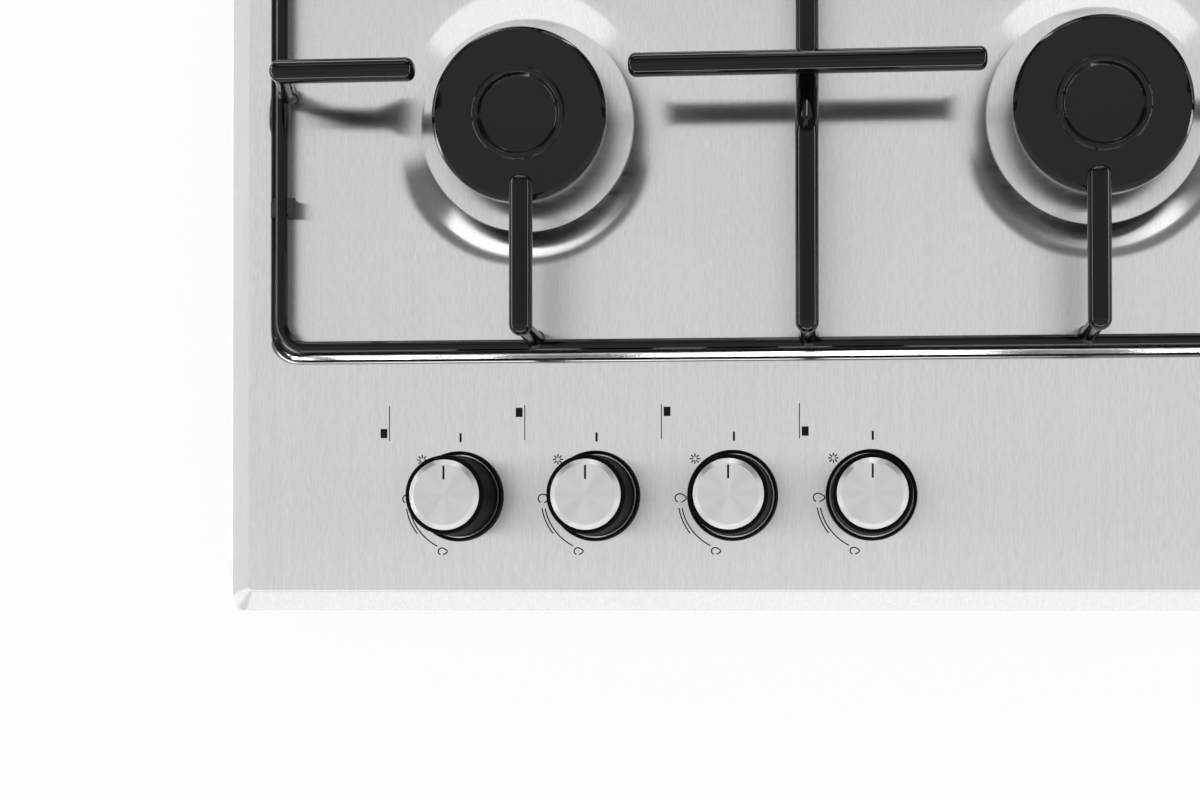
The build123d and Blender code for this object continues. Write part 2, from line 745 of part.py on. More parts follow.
def burner_cap(burner):
    """The enamelled lid: a flat ring, a bead and a shallow dish, with a locating ring below."""
    edge = burner.size.cap_radius
    bead = burner.size.dish_radius
    ring = burner.size.port_radius - SPREADER_WALL - SEAT_GAP
    floor = CAP_TOP - DISH_DEPTH
    cap = turned(
        (0, SPREADER_TOP - CAP_RING_DEPTH),
        (ring, SPREADER_TOP - CAP_RING_DEPTH),
        (ring, SPREADER_TOP),
        (edge, SPREADER_TOP),
        (edge, CAP_TOP - CAP_EDGE_DROP),
        (edge - CAP_EDGE, CAP_TOP),
        (bead + BEAD_WIDTH, CAP_TOP),
        (bead, CAP_TOP + BEAD_HEIGHT),
        (bead - DISH_SLOPE, floor),
        (0, floor),
    )
    x, y = place(burner)
    return Pos(x, y) * cap


# ---------------------------------------------------------------- igniters
def spark_electrodes():
    """The ceramic bodies, each held by a collar under its cup's flange."""
    parts = []
    under = CUP_FLANGE_TOP - CUP_FLANGE_THICK
    for burner in BURNERS:
        x, y = electrode_place(burner)
        ceramic = disc(ELECTRODE_RADIUS, ELECTRODE_BOTTOM, WELL_TOP + ELECTRODE_RISE, x, y)
        ceramic += disc(ELECTRODE_COLLAR, under - ELECTRODE_COLLAR_LENGTH, under, x, y)
        parts.append(ceramic)
    return Compound(children=parts)


def electrode_tips():
    """The steel pins that the sparks jump from."""
    top = WELL_TOP + ELECTRODE_RISE
    pins = [disc(TIP_RADIUS, top, top + TIP_LENGTH, *electrode_place(burner)) for burner in BURNERS]
    return Compound(children=pins)


def unit_centre():
    """The middle of the ignition unit, between the rear burners."""
    return 0.0, row_place(REAR_ROW) + UNIT_BEHIND


def ignition_unit():
    """The spark generator on the tray's floor."""
    width, depth, height = UNIT_SIZE
    x, y = unit_centre()
    body = Pos(x, y, SHEET + height / 2) * Box(width, depth, height)
    return chamfer(body.edges().group_by(Axis.Z)[-1], UNIT_EDGE)


def ignition_leads():
    """The spark leads that run level from the unit to the foot of each electrode."""
    width, depth, _ = UNIT_SIZE
    unit_x, unit_y = unit_centre()
    height = ELECTRODE_BOTTOM + LEAD_RISE
    leads = []
    for burner in BURNERS:
        x, y = electrode_place(burner)
        side = 1 if x > 0 else -1
        start = (x - side * ELECTRODE_RADIUS, y, height)
        if y > unit_y - depth / 2:
            leads.append(rod_between(start, (unit_x + side * width / 2, y, height), LEAD_RADIUS))
        else:
            lane = side * LEAD_SPACING
            points = (start, (lane, y, height), (lane, unit_y - depth / 2, height))
            leads.append(tube(points, LEAD_RADIUS, LEAD_BEND))
    return Compound(children=leads)


def cord_gland():
    """The strain relief in the tray's rear wall, empty: no cord is fitted."""
    plane = Plane(origin=(GLAND_OFFSET, TRAY_REAR_WALL, GAS_HEIGHT), z_dir=(0, 1, 0))
    body = extrude(plane * Circle(GLAND_RADIUS), -GLAND_INSIDE)
    body += extrude(plane * Circle(GLAND_FLANGE), GLAND_FLANGE_THICK)
    body += extrude(plane * Circle(GLAND_NECK), GLAND_NECK_LENGTH)
    inner = plane * Circle(GLAND_BORE)
    return body - extrude(inner, -2 * GLAND_INSIDE) - extrude(inner, 2 * GLAND_NECK_LENGTH)


# ---------------------------------------------------------------- controls
def knob_bezels():
    """The black rings that stand on the panel round the knobs' feet."""
    rings = []
    inner = KNOB_BASE_RADIUS + BEZEL_GAP
    for x in KNOB_XS:
        ring = turned(
            (inner, PANEL_TOP),
            (BEZEL_RADIUS, PANEL_TOP),
            (BEZEL_RADIUS - BEZEL_GAP, PANEL_TOP + BEZEL_HEIGHT),
            (inner, PANEL_TOP + BEZEL_HEIGHT),
        )
        rings.append(Pos(x, KNOB_Y) * ring)
    return Compound(children=rings)


def knob(x):
    """The knob's body: a slightly tapered drum with a broken edge and a D-shaped bore."""
    drum = turned(
        (0, KNOB_BOTTOM),
        (KNOB_BASE_RADIUS, KNOB_BOTTOM),
        (KNOB_TOP_RADIUS, KNOB_TOP - KNOB_EDGE),
        (KNOB_TOP_RADIUS - KNOB_EDGE, KNOB_TOP),
        (0, KNOB_TOP),
    )
    drum -= d_shaft(SPINDLE_RADIUS + SLIDE_GAP, SPINDLE_FLAT + SLIDE_GAP, KNOB_BOTTOM - PAST, SPINDLE_TOP)
    return Pos(x, KNOB_Y) * drum


def knob_disc(x):
    """The turned metal disc on the knob, bevelled round a flat face."""
    return cone(DISC_RADIUS, DISC_FLAT_RADIUS, KNOB_TOP, KNOB_TOP + DISC_THICK, x, KNOB_Y)


def spindle(x):
    """The D-shaped spindle that the knob turns and presses."""
    return Pos(x, KNOB_Y) * d_shaft(SPINDLE_RADIUS, SPINDLE_FLAT, SPINDLE_BOTTOM, SPINDLE_TOP)


# ---------------------------------------------------------------- pan support
def bar(start, end, round_start):
    """A thick bar between two points: its first end domed or eased, its last end eased."""
    length = (Vector(*end) - Vector(*start)).length
    eased = BAR_RADIUS - BAR_TIP_EDGE
    if round_start:
        shoulder = BAR_RADIUS
        foot = [CenterArc((shoulder, 0), BAR_RADIUS, 90, 90)]
    else:
        shoulder = BAR_TIP_EDGE
        foot = [Polyline((0, 0), (0, eased), (shoulder, BAR_RADIUS))]
    neck = length - BAR_TIP_EDGE
    rest = Polyline((shoulder, BAR_RADIUS), (neck, BAR_RADIUS), (length, eased), (length, 0), (0, 0))
    solid = revolve(make_face(Curve() + [*foot, rest]), Axis.X)
    along = Plane(origin=start, x_dir=Vector(*end) - Vector(*start), z_dir=(0, 0, 1))
    return along * solid


def leg(top, foot):
    """A leg that widens into a weld bead at its foot."""
    bead = Pos(0, 0, WELD_LENGTH / 2) * Cone(WELD_RADIUS, LEG_RADIUS, WELD_LENGTH)
    upward = Vector(*top) - Vector(*foot)
    return rod_between(top, foot, LEG_RADIUS) + Plane(origin=foot, z_dir=upward) * bead


def finger(outer, inner, foot, frame):
    """One support finger: a thick bar from a domed outer end to its tip, and its leg on the frame."""
    (ox, oy), (ix, iy), (fx, fy) = outer, inner, foot
    length = hypot(ix - ox, iy - oy)
    sx = ox + (ix - ox) / length * BAR_RADIUS
    sy = oy + (iy - oy) / length * BAR_RADIUS
    solid = bar((ox, oy, BAR_Z), (ix, iy, BAR_Z), True)
    return (solid + leg((sx, sy, BAR_Z), (fx, fy, ROD_Z))) - frame


def perimeter_frame():
    """The thin rod bent into the frame that everything else is welded to."""
    path = Pos(0, RECESS_Y, ROD_Z) * RectangleRounded(FRAME_WIDTH, FRAME_DEPTH, ROD_CORNER).wire()
    start = Plane(origin=path @ 0, z_dir=path % 0)
    return sweep(start * Circle(ROD_RADIUS), path=path)


def side_fingers(frame):
    """The fingers from the frame's left and right sides, one to each burner."""
    parts = []
    for burner in BURNERS:
        cx, cy = cross(burner)
        side = 1 if cx > 0 else -1
        outer = (side * (ROD_X - SIDE_END_INSET), cy)
        tip = (cx + side * burner.size.finger_gap, cy)
        parts.append(finger(outer, tip, (side * (ROD_X - LEG_SPLAY), cy), frame))
    return Compound(children=parts)


def end_fingers(frame):
    """The fingers from the frame's front and back, one to each burner."""
    parts = []
    for burner in BURNERS:
        cx, cy = cross(burner)
        front = cy < RECESS_Y
        outer, way = (ROD_FRONT, -1) if front else (ROD_BACK, 1)
        tip = cy + way * burner.size.finger_gap
        parts.append(finger((cx, outer), (cx, tip), (cx, outer - way * LEG_SPLAY), frame))
    return Compound(children=parts)


def rows():
    """The burners in pairs, left one first, front pair before rear pair."""
    pairs = [[burner for burner in BURNERS if burner.row == row] for row in (FRONT_ROW, REAR_ROW)]
    return [sorted(pair, key=lambda burner: burner.side) for pair in pairs]


def cross_bars():
    """The bars over the spine, one to each row of burners, whose ends are fingers."""
    parts = []
    for left, right in rows():
        y = cross(left)[1]
        start = cross(left)[0] + left.size.finger_gap
        end = cross(right)[0] - right.size.finger_gap
        parts.append(bar((start, y, BAR_Z), (end, y, BAR_Z), False))
    return Compound(children=parts)


def middle_row():
    """The Y of the middle bars, halfway between the tips that they carry."""
    (front, _), (rear, _) = rows()
    return (cross(front)[1] + front.size.finger_gap + cross(rear)[1] - rear.size.finger_gap) / 2


def middle_fingers():
    """The short bars along Y, each carried by a middle bar, that serve the front and rear burners."""
    parts = []
    fronts, rears = rows()
    for front, rear in zip(fronts, rears):
        x = cross(front)[0]
        start = cross(front)[1] + front.size.finger_gap
        end = cross(rear)[1] - rear.size.finger_gap
        parts.append(bar((x, start, BAR_Z), (x, end, BAR_Z), False))
    return Compound(children=parts)


def spine_route():
    """The spine's dipped stretch: high, down a slope, low under the other bars, and up again."""
    (front, _), (rear, _) = rows()
    dip_front = cross(front)[1] - CROSSING_GAP
    dip_rear = cross(rear)[1] + CROSSING_GAP
    ease = SPINE_DIP_RUN / 4
    high_front = dip_front - SPINE_DIP_RUN
    high_rear = dip_rear + SPINE_DIP_RUN
    return [
        (0, high_front, BAR_Z),
        (0, high_front + ease, BAR_Z),
        (0, dip_front - ease, DIP_Z),
        (0, dip_rear + ease, DIP_Z),
        (0, high_rear - ease, BAR_Z),
        (0, high_rear, BAR_Z),
    ]


def spine(frame, over):
    """The long bar down the middle: domed ends on legs, and a dip where the others cross it."""
    route = spine_route()
    solid = tube(route, BAR_RADIUS, SPINE_BEND)
    for end, top, way in ((ROD_FRONT, route[0][1], 1), (ROD_BACK, route[-1][1], -1)):
        spare = top + way * 2 * BAR_TIP_EDGE
        domed = finger((0, end), (0, spare), (0, end + way * LEG_SPLAY), frame)
        beyond = Pos(0, top + way * BAR_HEIGHT / 2, BAR_Z) * Box(BAR_HEIGHT, BAR_HEIGHT, 2 * BAR_HEIGHT)
        solid += domed - beyond
    return solid - over


def middle_bars(frame, spine_solid, over):
    """The low bars from the frame's sides to the spine, which carry the middle fingers."""
    y = middle_row()
    parts = []
    for side in (-1, 1):
        outer = side * (ROD_X - SIDE_END_INSET)
        start = (outer, y, DIP_Z)
        leg_top = (outer - side * BAR_RADIUS, y, DIP_Z)
        half = bar(start, (0, y, DIP_Z), True)
        half += leg(leg_top, (side * (ROD_X - LEG_SPLAY), y, ROD_Z))
        half = half - frame - spine_solid - over
        parts.append(max(half.solids(), key=lambda s: s.volume))
    return Compound(children=parts)


def rubber_pads(frame):
    """The rubber clips under the frame's sides, which keep the rod off the plate."""
    parts = []
    for side in (-1, 1):
        for y in (row_place(FRONT_ROW) - PAD_AHEAD, row_place(REAR_ROW) + PAD_BEHIND):
            top = ROD_Z + PAD_RISE - RECESS_TOP
            outline = Polyline(
                (PAD_EASE - PAD_OUTER, 0),
                (PAD_INNER - PAD_TAPER, 0),
                (PAD_INNER, top),
                (-PAD_OUTER, top),
                (-PAD_OUTER, PAD_EASE),
                close=True,
            )
            clip = Pos(-ROD_X) * extrude(Plane.XZ * make_face(outline), PAD_ALONG / 2, both=True)
            if side > 0:
                clip = mirror(clip, Plane.YZ)
            parts.append(Pos(0, y, RECESS_TOP) * clip - frame)
    return Compound(children=parts)


# ---------------------------------------------------------------- assembly
def build():
    """Every node by name."""
    form = pressed_form()
    rail = manifold()
    frame = perimeter_frame()
    crosses = cross_bars()
    middles = middle_fingers()
    spine_solid = spine(frame, crosses)
    nodes = {
        "top_plate": top_plate(form),
        "sealing_strip": sealing_strip(form),
        "base_tray": base_tray(form),
        "worktop_clamps": worktop_clamps(),
        "clamp_screws": clamp_screws(),
        "gas_manifold": rail,
        "gas_inlet": gas_inlet(),
        "tap_covers": tap_covers(),
        "ignition_switches": ignition_switches(),
        "injectors": injectors(),
        "spark_electrodes": spark_electrodes(),
        "electrode_tips": electrode_tips(),
        "ignition_unit": ignition_unit(),
        "ignition_leads": ignition_leads(),
        "cord_gland": cord_gland(),
        "knob_bezels": knob_bezels(),
        "perimeter_frame": frame,
        "side_fingers": side_fingers(frame),
        "end_fingers": end_fingers(frame),
        "cross_bars": crosses,
        "middle_fingers": middles,
        "spine": spine_solid,
        "middle_bars": middle_bars(frame, spine_solid, middles),
        "rubber_pads": rubber_pads(frame),
    }
    routes = pipe_routes()
    for number, x in enumerate(KNOB_XS, start=1):
        nodes[f"tap_body_{number}"] = tap_body(x, rail)
        nodes[f"tap_plug_{number}"] = tap_plug(x)
        nodes[f"spindle_{number}"] = spindle(x)
        nodes[f"knob_{number}"] = knob(x)
        nodes[f"knob_disc_{number}"] = knob_disc(x)
    for burner in BURNERS:
        nodes[f"supply_pipe_{burner.name}"] = supply_pipe(routes[burner.name])
        nodes[f"burner_cup_{burner.name}"] = burner_cup(burner)
        nodes[f"flame_spreader_{burner.name}"] = flame_spreader(burner)
        nodes[f"burner_cap_{burner.name}"] = burner_cap(burner)
    return nodes


def main():
    """Write one STEP file for each node."""
    os.makedirs("parts", exist_ok=True)
    for name, shape in build().items():
        export_step(shape, f"parts/{name}.step")


if __name__ == "__main__":
    main()
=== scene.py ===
"""A built-in gas hob seen from above: steel plate, black pan support, burners and knobs.

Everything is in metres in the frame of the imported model: X to the cook's right, Y to the back, Z up,
with the origin under the middle of the base tray.
"""

import json
import logging
import math
from collections.abc import Callable, Sequence
from dataclasses import dataclass
from enum import Enum

import bmesh
import bpy
import numpy as np
from mathutils import Matrix, Vector
from mathutils.geometry import tessellate_polygon

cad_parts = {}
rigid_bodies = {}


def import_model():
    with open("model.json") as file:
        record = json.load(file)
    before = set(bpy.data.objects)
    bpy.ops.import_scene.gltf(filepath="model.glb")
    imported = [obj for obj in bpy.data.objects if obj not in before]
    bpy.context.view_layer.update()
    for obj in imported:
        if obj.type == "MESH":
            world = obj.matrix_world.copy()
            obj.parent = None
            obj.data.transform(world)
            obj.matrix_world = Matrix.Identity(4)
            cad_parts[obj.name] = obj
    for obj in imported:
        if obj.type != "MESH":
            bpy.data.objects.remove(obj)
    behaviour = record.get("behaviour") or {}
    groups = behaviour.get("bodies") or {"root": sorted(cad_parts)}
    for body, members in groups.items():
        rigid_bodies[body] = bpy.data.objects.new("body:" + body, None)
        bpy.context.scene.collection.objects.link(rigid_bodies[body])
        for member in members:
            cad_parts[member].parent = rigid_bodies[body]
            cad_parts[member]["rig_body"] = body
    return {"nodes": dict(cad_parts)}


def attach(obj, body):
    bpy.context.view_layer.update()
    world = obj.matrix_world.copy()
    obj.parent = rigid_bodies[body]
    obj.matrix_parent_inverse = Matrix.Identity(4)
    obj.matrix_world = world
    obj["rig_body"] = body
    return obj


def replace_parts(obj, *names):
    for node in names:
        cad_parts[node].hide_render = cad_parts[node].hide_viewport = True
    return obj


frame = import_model()

LOG = logging.getLogger("gas_hob")
MM = 0.001
Array = np.ndarray
Patch = tuple[Array, Array]
Point = tuple[float, float, float]
Colour = tuple[float, float, float]


# ---------------------------------------------------------------- shader expressions
def _operator(operation: str, swapped: bool = False) -> Callable:
    """Make an operator of Value that adds one Math node.

    Args:
        operation: The Math node's operation.
        swapped: Whether the other operand comes first, as in a reflected operator.

    Returns:
        The method.
    """

    def method(value: "Value", other: "Number") -> "Value":
        """The Math node's output."""
        first, second = (other, value) if swapped else (value, other)
        return value.shader.node("ShaderNodeMath", {"operation": operation}, {0: first, 1: second})

    return method


class Value:
    """A shader socket that can be used in arithmetic; each operator adds a Math node."""

    def __init__(self, shader: "Shader", socket: bpy.types.NodeSocket) -> None:
        """Wrap a socket.

        Args:
            shader: The shader whose tree holds the socket.
            socket: The output socket.
        """
        self.shader = shader
        self.socket = socket

    __add__ = _operator("ADD")
    __radd__ = _operator("ADD", swapped=True)
    __sub__ = _operator("SUBTRACT")
    __rsub__ = _operator("SUBTRACT", swapped=True)
    __mul__ = _operator("MULTIPLY")
    __rmul__ = _operator("MULTIPLY", swapped=True)
    __truediv__ = _operator("DIVIDE")

    def held(self, low: float = 0.0, high: float = 1.0) -> "Value":
        """The value, held between two bounds."""
        return self.shader.node("ShaderNodeClamp", {}, {"Value": self, "Min": low, "Max": high})

    def step(self, low: float, high: float) -> "Value":
        """0 below the low value, 1 above the high one, and smooth between.

        Args:
            low: Where the rise starts.
            high: Where it ends.

        Returns:
            The smooth step.
        """
        settings = {"interpolation_type": "SMOOTHSTEP"}
        inputs = {"Value": self, "From Min": low, "From Max": high, "To Min": 0.0, "To Max": 1.0}
        return self.shader.node("ShaderNodeMapRange", settings, inputs)


Number = Value | float


class Shader:
    """One node material or world, built by expressions."""

    def __init__(self, name: str, world: bool = False) -> None:
        """Start an empty material or world.

        Args:
            name: Its name.
            world: Whether it is a world.
        """
        self.material = (bpy.data.worlds if world else bpy.data.materials).new(name)
        self.material.use_nodes = True
        self.end = "ShaderNodeOutputWorld" if world else "ShaderNodeOutputMaterial"
        self.tree = self.material.node_tree
        self.tree.nodes.clear()

    def node(self, kind: str, settings: dict, inputs: dict, output: int | str = 0) -> Value:
        """Add any node: its settings first, then its sockets.

        Args:
            kind: The node's type.
            settings: Attributes of the node.
            inputs: Values or links by socket name or number.
            output: Which output to return.

        Returns:
            The chosen output as a Value.
        """
        made = self.tree.nodes.new(kind)
        for key, setting in settings.items():
            setattr(made, key, setting)
        for key, given in inputs.items():
            socket = made.inputs[key]
            if isinstance(given, Value):
                self.tree.links.new(given.socket, socket)
            else:
                socket.default_value = given
        return Value(self, made.outputs[output])

    def coords(self, stretch: Point = (1.0, 1.0, 1.0), centre: Point = (0.0, 0.0, 0.0)) -> Value:
        """Object coordinates, moved to a centre and then stretched.

        Args:
            stretch: The factor along each axis.
            centre: The point that becomes the origin.

        Returns:
            The vector.
        """
        place = self.node("ShaderNodeTexCoord", {}, {}, "Object")
        moved = self.node("ShaderNodeVectorMath", {"operation": "SUBTRACT"}, {0: place, 1: centre})
        return self.node("ShaderNodeVectorMath", {"operation": "MULTIPLY"}, {0: moved, 1: stretch})

    def radius(self, centre: tuple[float, float]) -> Value:
        """The distance in metres from an upright axis, whose place is in mm."""
        flat = self.coords((1.0, 1.0, 0.0), (centre[0] * MM, centre[1] * MM, 0.0))
        return self.node("ShaderNodeVectorMath", {"operation": "LENGTH"}, {0: flat}, "Value")

    def noise(self, where: Value, scale: float, detail: float = 2.0, roughness: float = 0.5) -> Value:
        """Fractal noise from 0 to 1."""
        inputs = {"Vector": where, "Scale": scale, "Detail": detail, "Roughness": roughness}
        return self.node("ShaderNodeTexNoise", {}, inputs)

    def blend(self, factor: Number, first: Colour, second: Colour) -> Value:
        """A colour between two colours."""
        inputs = {0: factor, 6: (*first, 1.0), 7: (*second, 1.0)}
        return self.node("ShaderNodeMix", {"data_type": "RGBA"}, inputs, 2)

    def mottled(self, factor: Number, colour: Colour, shades: tuple[float, float]) -> Value:
        """A colour between two shades of one colour; a shade is a factor, and 1 is the most."""
        darker, lighter = (tuple(min(1.0, shade * part) for part in colour) for shade in shades)
        return self.blend(factor, darker, lighter)

    def bump(self, height: Value, distance: float) -> Value:
        """A Bump node's normal at full strength; the distance is in metres."""
        return self.node("ShaderNodeBump", {}, {"Height": height, "Distance": distance, "Strength": 1.0})

    def finish(self, **inputs: object) -> bpy.types.Material:
        """End with a Principled surface.

        Args:
            inputs: Its sockets, by name with underscores for spaces.

        Returns:
            The finished material.
        """
        named = {key.replace("_", " "): given for key, given in inputs.items()}
        surface = self.node("ShaderNodeBsdfPrincipled", {}, named)
        self.node_out(surface)
        return self.material

    def node_out(self, surface: Value) -> None:
        """Link a closure to the material's output."""
        end = self.tree.nodes.new(self.end)
        self.tree.links.new(surface.socket, end.inputs["Surface"])


# ---------------------------------------------------------------- surfaces
def ring_faces(rings: int, around: int) -> Array:
    """Quads that join each closed ring of points to the next.

    Args:
        rings: How many rings the grid has.
        around: How many points each ring has.

    Returns:
        The corner numbers, four to a row.
    """
    ring, point = np.meshgrid(np.arange(rings - 1) * around, np.arange(around), indexing="ij")
    after = (point + 1) % around
    corners = [ring + point, ring + after, ring + around + after, ring + around + point]
    return np.stack(corners, axis=-1).reshape(-1, 4)


def at_height(loop: Array, height: float) -> Array:
    """The points of a flat loop, with one height as their Z."""
    return np.column_stack([loop, np.full(len(loop), height)])


def stacked(loops: Sequence[Array]) -> Patch:
    """A surface through closed loops in mm, each joined to the next point by point."""
    return np.concatenate(loops) * MM, ring_faces(len(loops), len(loops[0]))


def mesh_object(name: str, parts: Sequence[Patch], sharp: float = 35.0) -> bpy.types.Object:
    """Join patches of points and faces into one closed, smooth-shaded object.

    Args:
        name: The piece's name.
        parts: Points in metres and faces of each patch; points that coincide are welded.
        sharp: Edges that turn by more degrees than this stay sharp.

    Returns:
        The object, at the origin.
    """
    points = np.concatenate([grid for grid, _ in parts])
    starts = np.cumsum([0] + [len(grid) for grid, _ in parts])
    faces = [face for (_, corners), start in zip(parts, starts) for face in (corners + start).tolist()]
    mesh = bpy.data.meshes.new(name)
    mesh.from_pydata(points.tolist(), [], faces)
    weld(mesh)
    return shaded_object(name, mesh, sharp)


def weld(mesh: bpy.types.Mesh, reach: float = 1e-6) -> None:
    """Merge coinciding points, drop collapsed faces and turn every face outwards.

    Args:
        mesh: The mesh to mend.
        reach: Points nearer than this, in metres, become one.
    """
    work = bmesh.new()
    work.from_mesh(mesh)
    bmesh.ops.remove_doubles(work, verts=work.verts, dist=reach)
    bmesh.ops.recalc_face_normals(work, faces=work.faces)
    work.to_mesh(mesh)
    work.free()


def shaded_object(name: str, mesh: bpy.types.Mesh, sharp: float) -> bpy.types.Object:
    """Make an object with smooth faces and normals weighted by face area.

    Args:
        name: The piece's name.
        mesh: Its mesh.
        sharp: Edges that turn by more degrees than this stay sharp.

    Returns:
        The object, at the origin.
    """
    mesh.polygons.foreach_set("use_smooth", np.ones(len(mesh.polygons), dtype=bool))
    mesh.set_sharp_from_angle(angle=math.radians(sharp))
    made = bpy.data.objects.new(name, mesh)
    bpy.context.scene.collection.objects.link(made)
    weights = made.modifiers.new("normals by area", "WEIGHTED_NORMAL")
    weights.keep_sharp = True
    return made


def round_angles(count: int) -> Array:
    """Equal steps of a whole turn."""
    return np.linspace(0.0, 2 * np.pi, count, endpoint=False)


def circle(radius: float, centre: tuple[float, float], count: int) -> Array:
    """Points on a circle: centre + radius * (cos a, sin a), for equal steps of a."""
    angles = round_angles(count)
    return np.stack([np.cos(angles), np.sin(angles)], axis=-1) * radius + centre


def rounded_rectangle(
    width: float, depth: float, radius: float, middle_y: float = 0.0, steps: int = 10
) -> Array:
    """Points round a rectangle with round corners.

    Each corner is its centre plus radius * (cos a, sin a) over a quarter turn; the sides lie between.

    Args:
        width: The size along X.
        depth: The size along Y.
        radius: The corners' radius.
        middle_y: The Y of its middle.
        steps: Points to each corner, less one.

    Returns:
        The points, anticlockwise from the right side's back end.
    """
    quarter = np.linspace(0.0, np.pi / 2, steps + 1)
    angles = (quarter + np.arange(4)[:, None] * np.pi / 2).reshape(-1)
    corner_x = np.repeat([1, -1, -1, 1], steps + 1) * (width / 2 - radius)
    corner_y = np.repeat([1, 1, -1, -1], steps + 1) * (depth / 2 - radius) + middle_y
    return np.stack([corner_x + radius * np.cos(angles), corner_y + radius * np.sin(angles)], axis=-1)


def filleted(corners: Sequence[Sequence[float]], radii: float | Sequence[float], steps: int = 8) -> Array:
    """A path of straight runs with tangent arcs at its inner corners.

    At a corner with unit directions a and b to its neighbours and half angle h, the arc's centre lies on
    the bisector at radius / sin(h), and the arc turns from the one tangent point to the other.

    Args:
        corners: The path's points, in two or three dimensions.
        radii: One radius, or one for each inner corner; 0 leaves a corner as it is.
        steps: Points to each arc, less one.

    Returns:
        The path's points.
    """
    route = np.asarray(corners, dtype=float)
    sizes = np.broadcast_to(np.asarray(radii, dtype=float), (len(route) - 2,))
    path = [route[:1]]
    for before, here, after, radius in zip(route[:-2], route[1:-1], route[2:], sizes):
        back = (before - here) / np.linalg.norm(before - here)
        ahead = (after - here) / np.linalg.norm(after - here)
        half = np.arccos(np.clip(back @ ahead, -1.0, 1.0)) / 2
        if radius == 0 or np.pi / 2 - half < 1e-6:
            path.append(here[None])
            continue
        bisector = (back + ahead) / np.linalg.norm(back + ahead)
        centre = here + bisector * radius / np.sin(half)
        swing = np.linspace(-1.0, 1.0, steps + 1)[:, None] * (np.pi / 2 - half)
        across = (ahead - back) / np.linalg.norm(ahead - back)
        path.append(centre - bisector * radius * np.cos(swing) + across * radius * np.sin(swing))
    path.append(route[-1:])
    return np.concatenate(path)


def turned(profile: Array, centre: tuple[float, float], count: int = 96) -> Patch:
    """A surface of revolution about an upright axis: (radius * cos a, radius * sin a, height).

    Args:
        profile: Radius and height of the outline, in mm.
        centre: The axis, in mm.
        count: Points round the axis.

    Returns:
        Points in metres, and faces.
    """
    return stacked([at_height(circle(radius, centre, count), height) for radius, height in profile])


def carried(
    path: Array, radii: Array, binormal: Point, count: int = 40, direction: Array | None = None
) -> Patch:
    """A round section carried along a path that lies in one plane.

    A ring is its centre plus radius * (cos a * b + sin a * (b x t)), with t the path's direction and b the
    plane's normal.

    Args:
        path: The centres, in mm.
        radii: The radius at each centre, in mm; 0 closes an end.
        binormal: The normal of the path's plane.
        count: Points round the section.
        direction: The direction of a straight path, whose points may coincide.

    Returns:
        Points in metres, and faces.
    """
    if direction is None:
        direction = np.gradient(path, axis=0)
        direction /= np.maximum(np.linalg.norm(direction, axis=1, keepdims=True), 1e-12)
    angles = round_angles(count)[None, :, None]
    side = np.atleast_2d(np.cross(binormal, direction))[:, None]
    turn = np.cos(angles) * np.array(binormal) + np.sin(angles) * side
    points = path[:, None] + np.asarray(radii)[:, None, None] * turn
    return points.reshape(-1, 3) * MM, ring_faces(len(path), count)


def straight(
    start: Point, end: Point, places: Array, radii: Array, binormal: Point, count: int = 40
) -> Patch:
    """A round bar along a straight line.

    Args:
        start: The line's start, in mm.
        end: Its end.
        places: Distances from the start, in mm, which may repeat.
        radii: The radius at each distance; 0 closes an end.
        binormal: A unit vector square to the line.
        count: Points round the section.

    Returns:
        Points in metres, and faces.
    """
    direction = (np.array(end) - start) / math.dist(start, end)
    return carried(start + direction * places[:, None], radii, binormal, count, direction)


def looped(path: Array, radius: float, binormal: Point, count: int = 28) -> Patch:
    """A round section carried round a closed path in one plane.

    Args:
        path: The centres, in mm; the last joins the first.
        radius: The section's radius, in mm.
        binormal: The normal of the path's plane.
        count: Points round the section.

    Returns:
        Points in metres, and faces.
    """
    closed = np.concatenate([path[-1:], path, path[:2]])
    points, _ = carried(closed, np.full(len(closed), radius), binormal, count)
    rings = points.reshape(len(closed), count, 3)[1:-1]
    rings[-1] = rings[0]
    return rings.reshape(-1, 3), ring_faces(len(rings), count)


def flat_region(outline: Array, holes: Sequence[Array], height: float) -> Patch:
    """A level region with holes, filled with triangles.

    Args:
        outline: Its outer loop, in mm.
        holes: The loops of its holes, in mm.
        height: Its height, in mm.

    Returns:
        Points in metres, and triangles.
    """
    loops = [at_height(loop, height) for loop in (outline, *holes)]
    triangles = tessellate_polygon([[Vector(point) for point in loop] for loop in loops])
    return np.concatenate(loops) * MM, np.array(triangles)


def raised(patch: Patch, rise: float) -> Patch:
    """A copy of a patch, moved up by a height in mm."""
    points, faces = patch
    return points + np.array([0.0, 0.0, rise * MM]), faces


# ---------------------------------------------------------------- finishes
class Slot(Enum):
    """The record's material slots that new pieces take their finish from."""

    STEEL = "plate_steel"
    SEAL = "seal_foam"
    TRAY = "tray_steel"
    SCREW = "screw_steel"
    RAIL = "rail_steel"
    BRASS = "brass"
    CAST = "cast_aluminium"
    PLASTIC = "black_plastic"
    CERAMIC = "ceramic"
    PIN = "pin_steel"
    LEAD = "lead_silicone"
    KNOB = "knob_black"
    DISC = "turned_aluminium"
    SUPPORT = "support_enamel"
    PAD = "pad_rubber"
    PIPE = "pipe_aluminium"
    CAP = "cap_enamel"


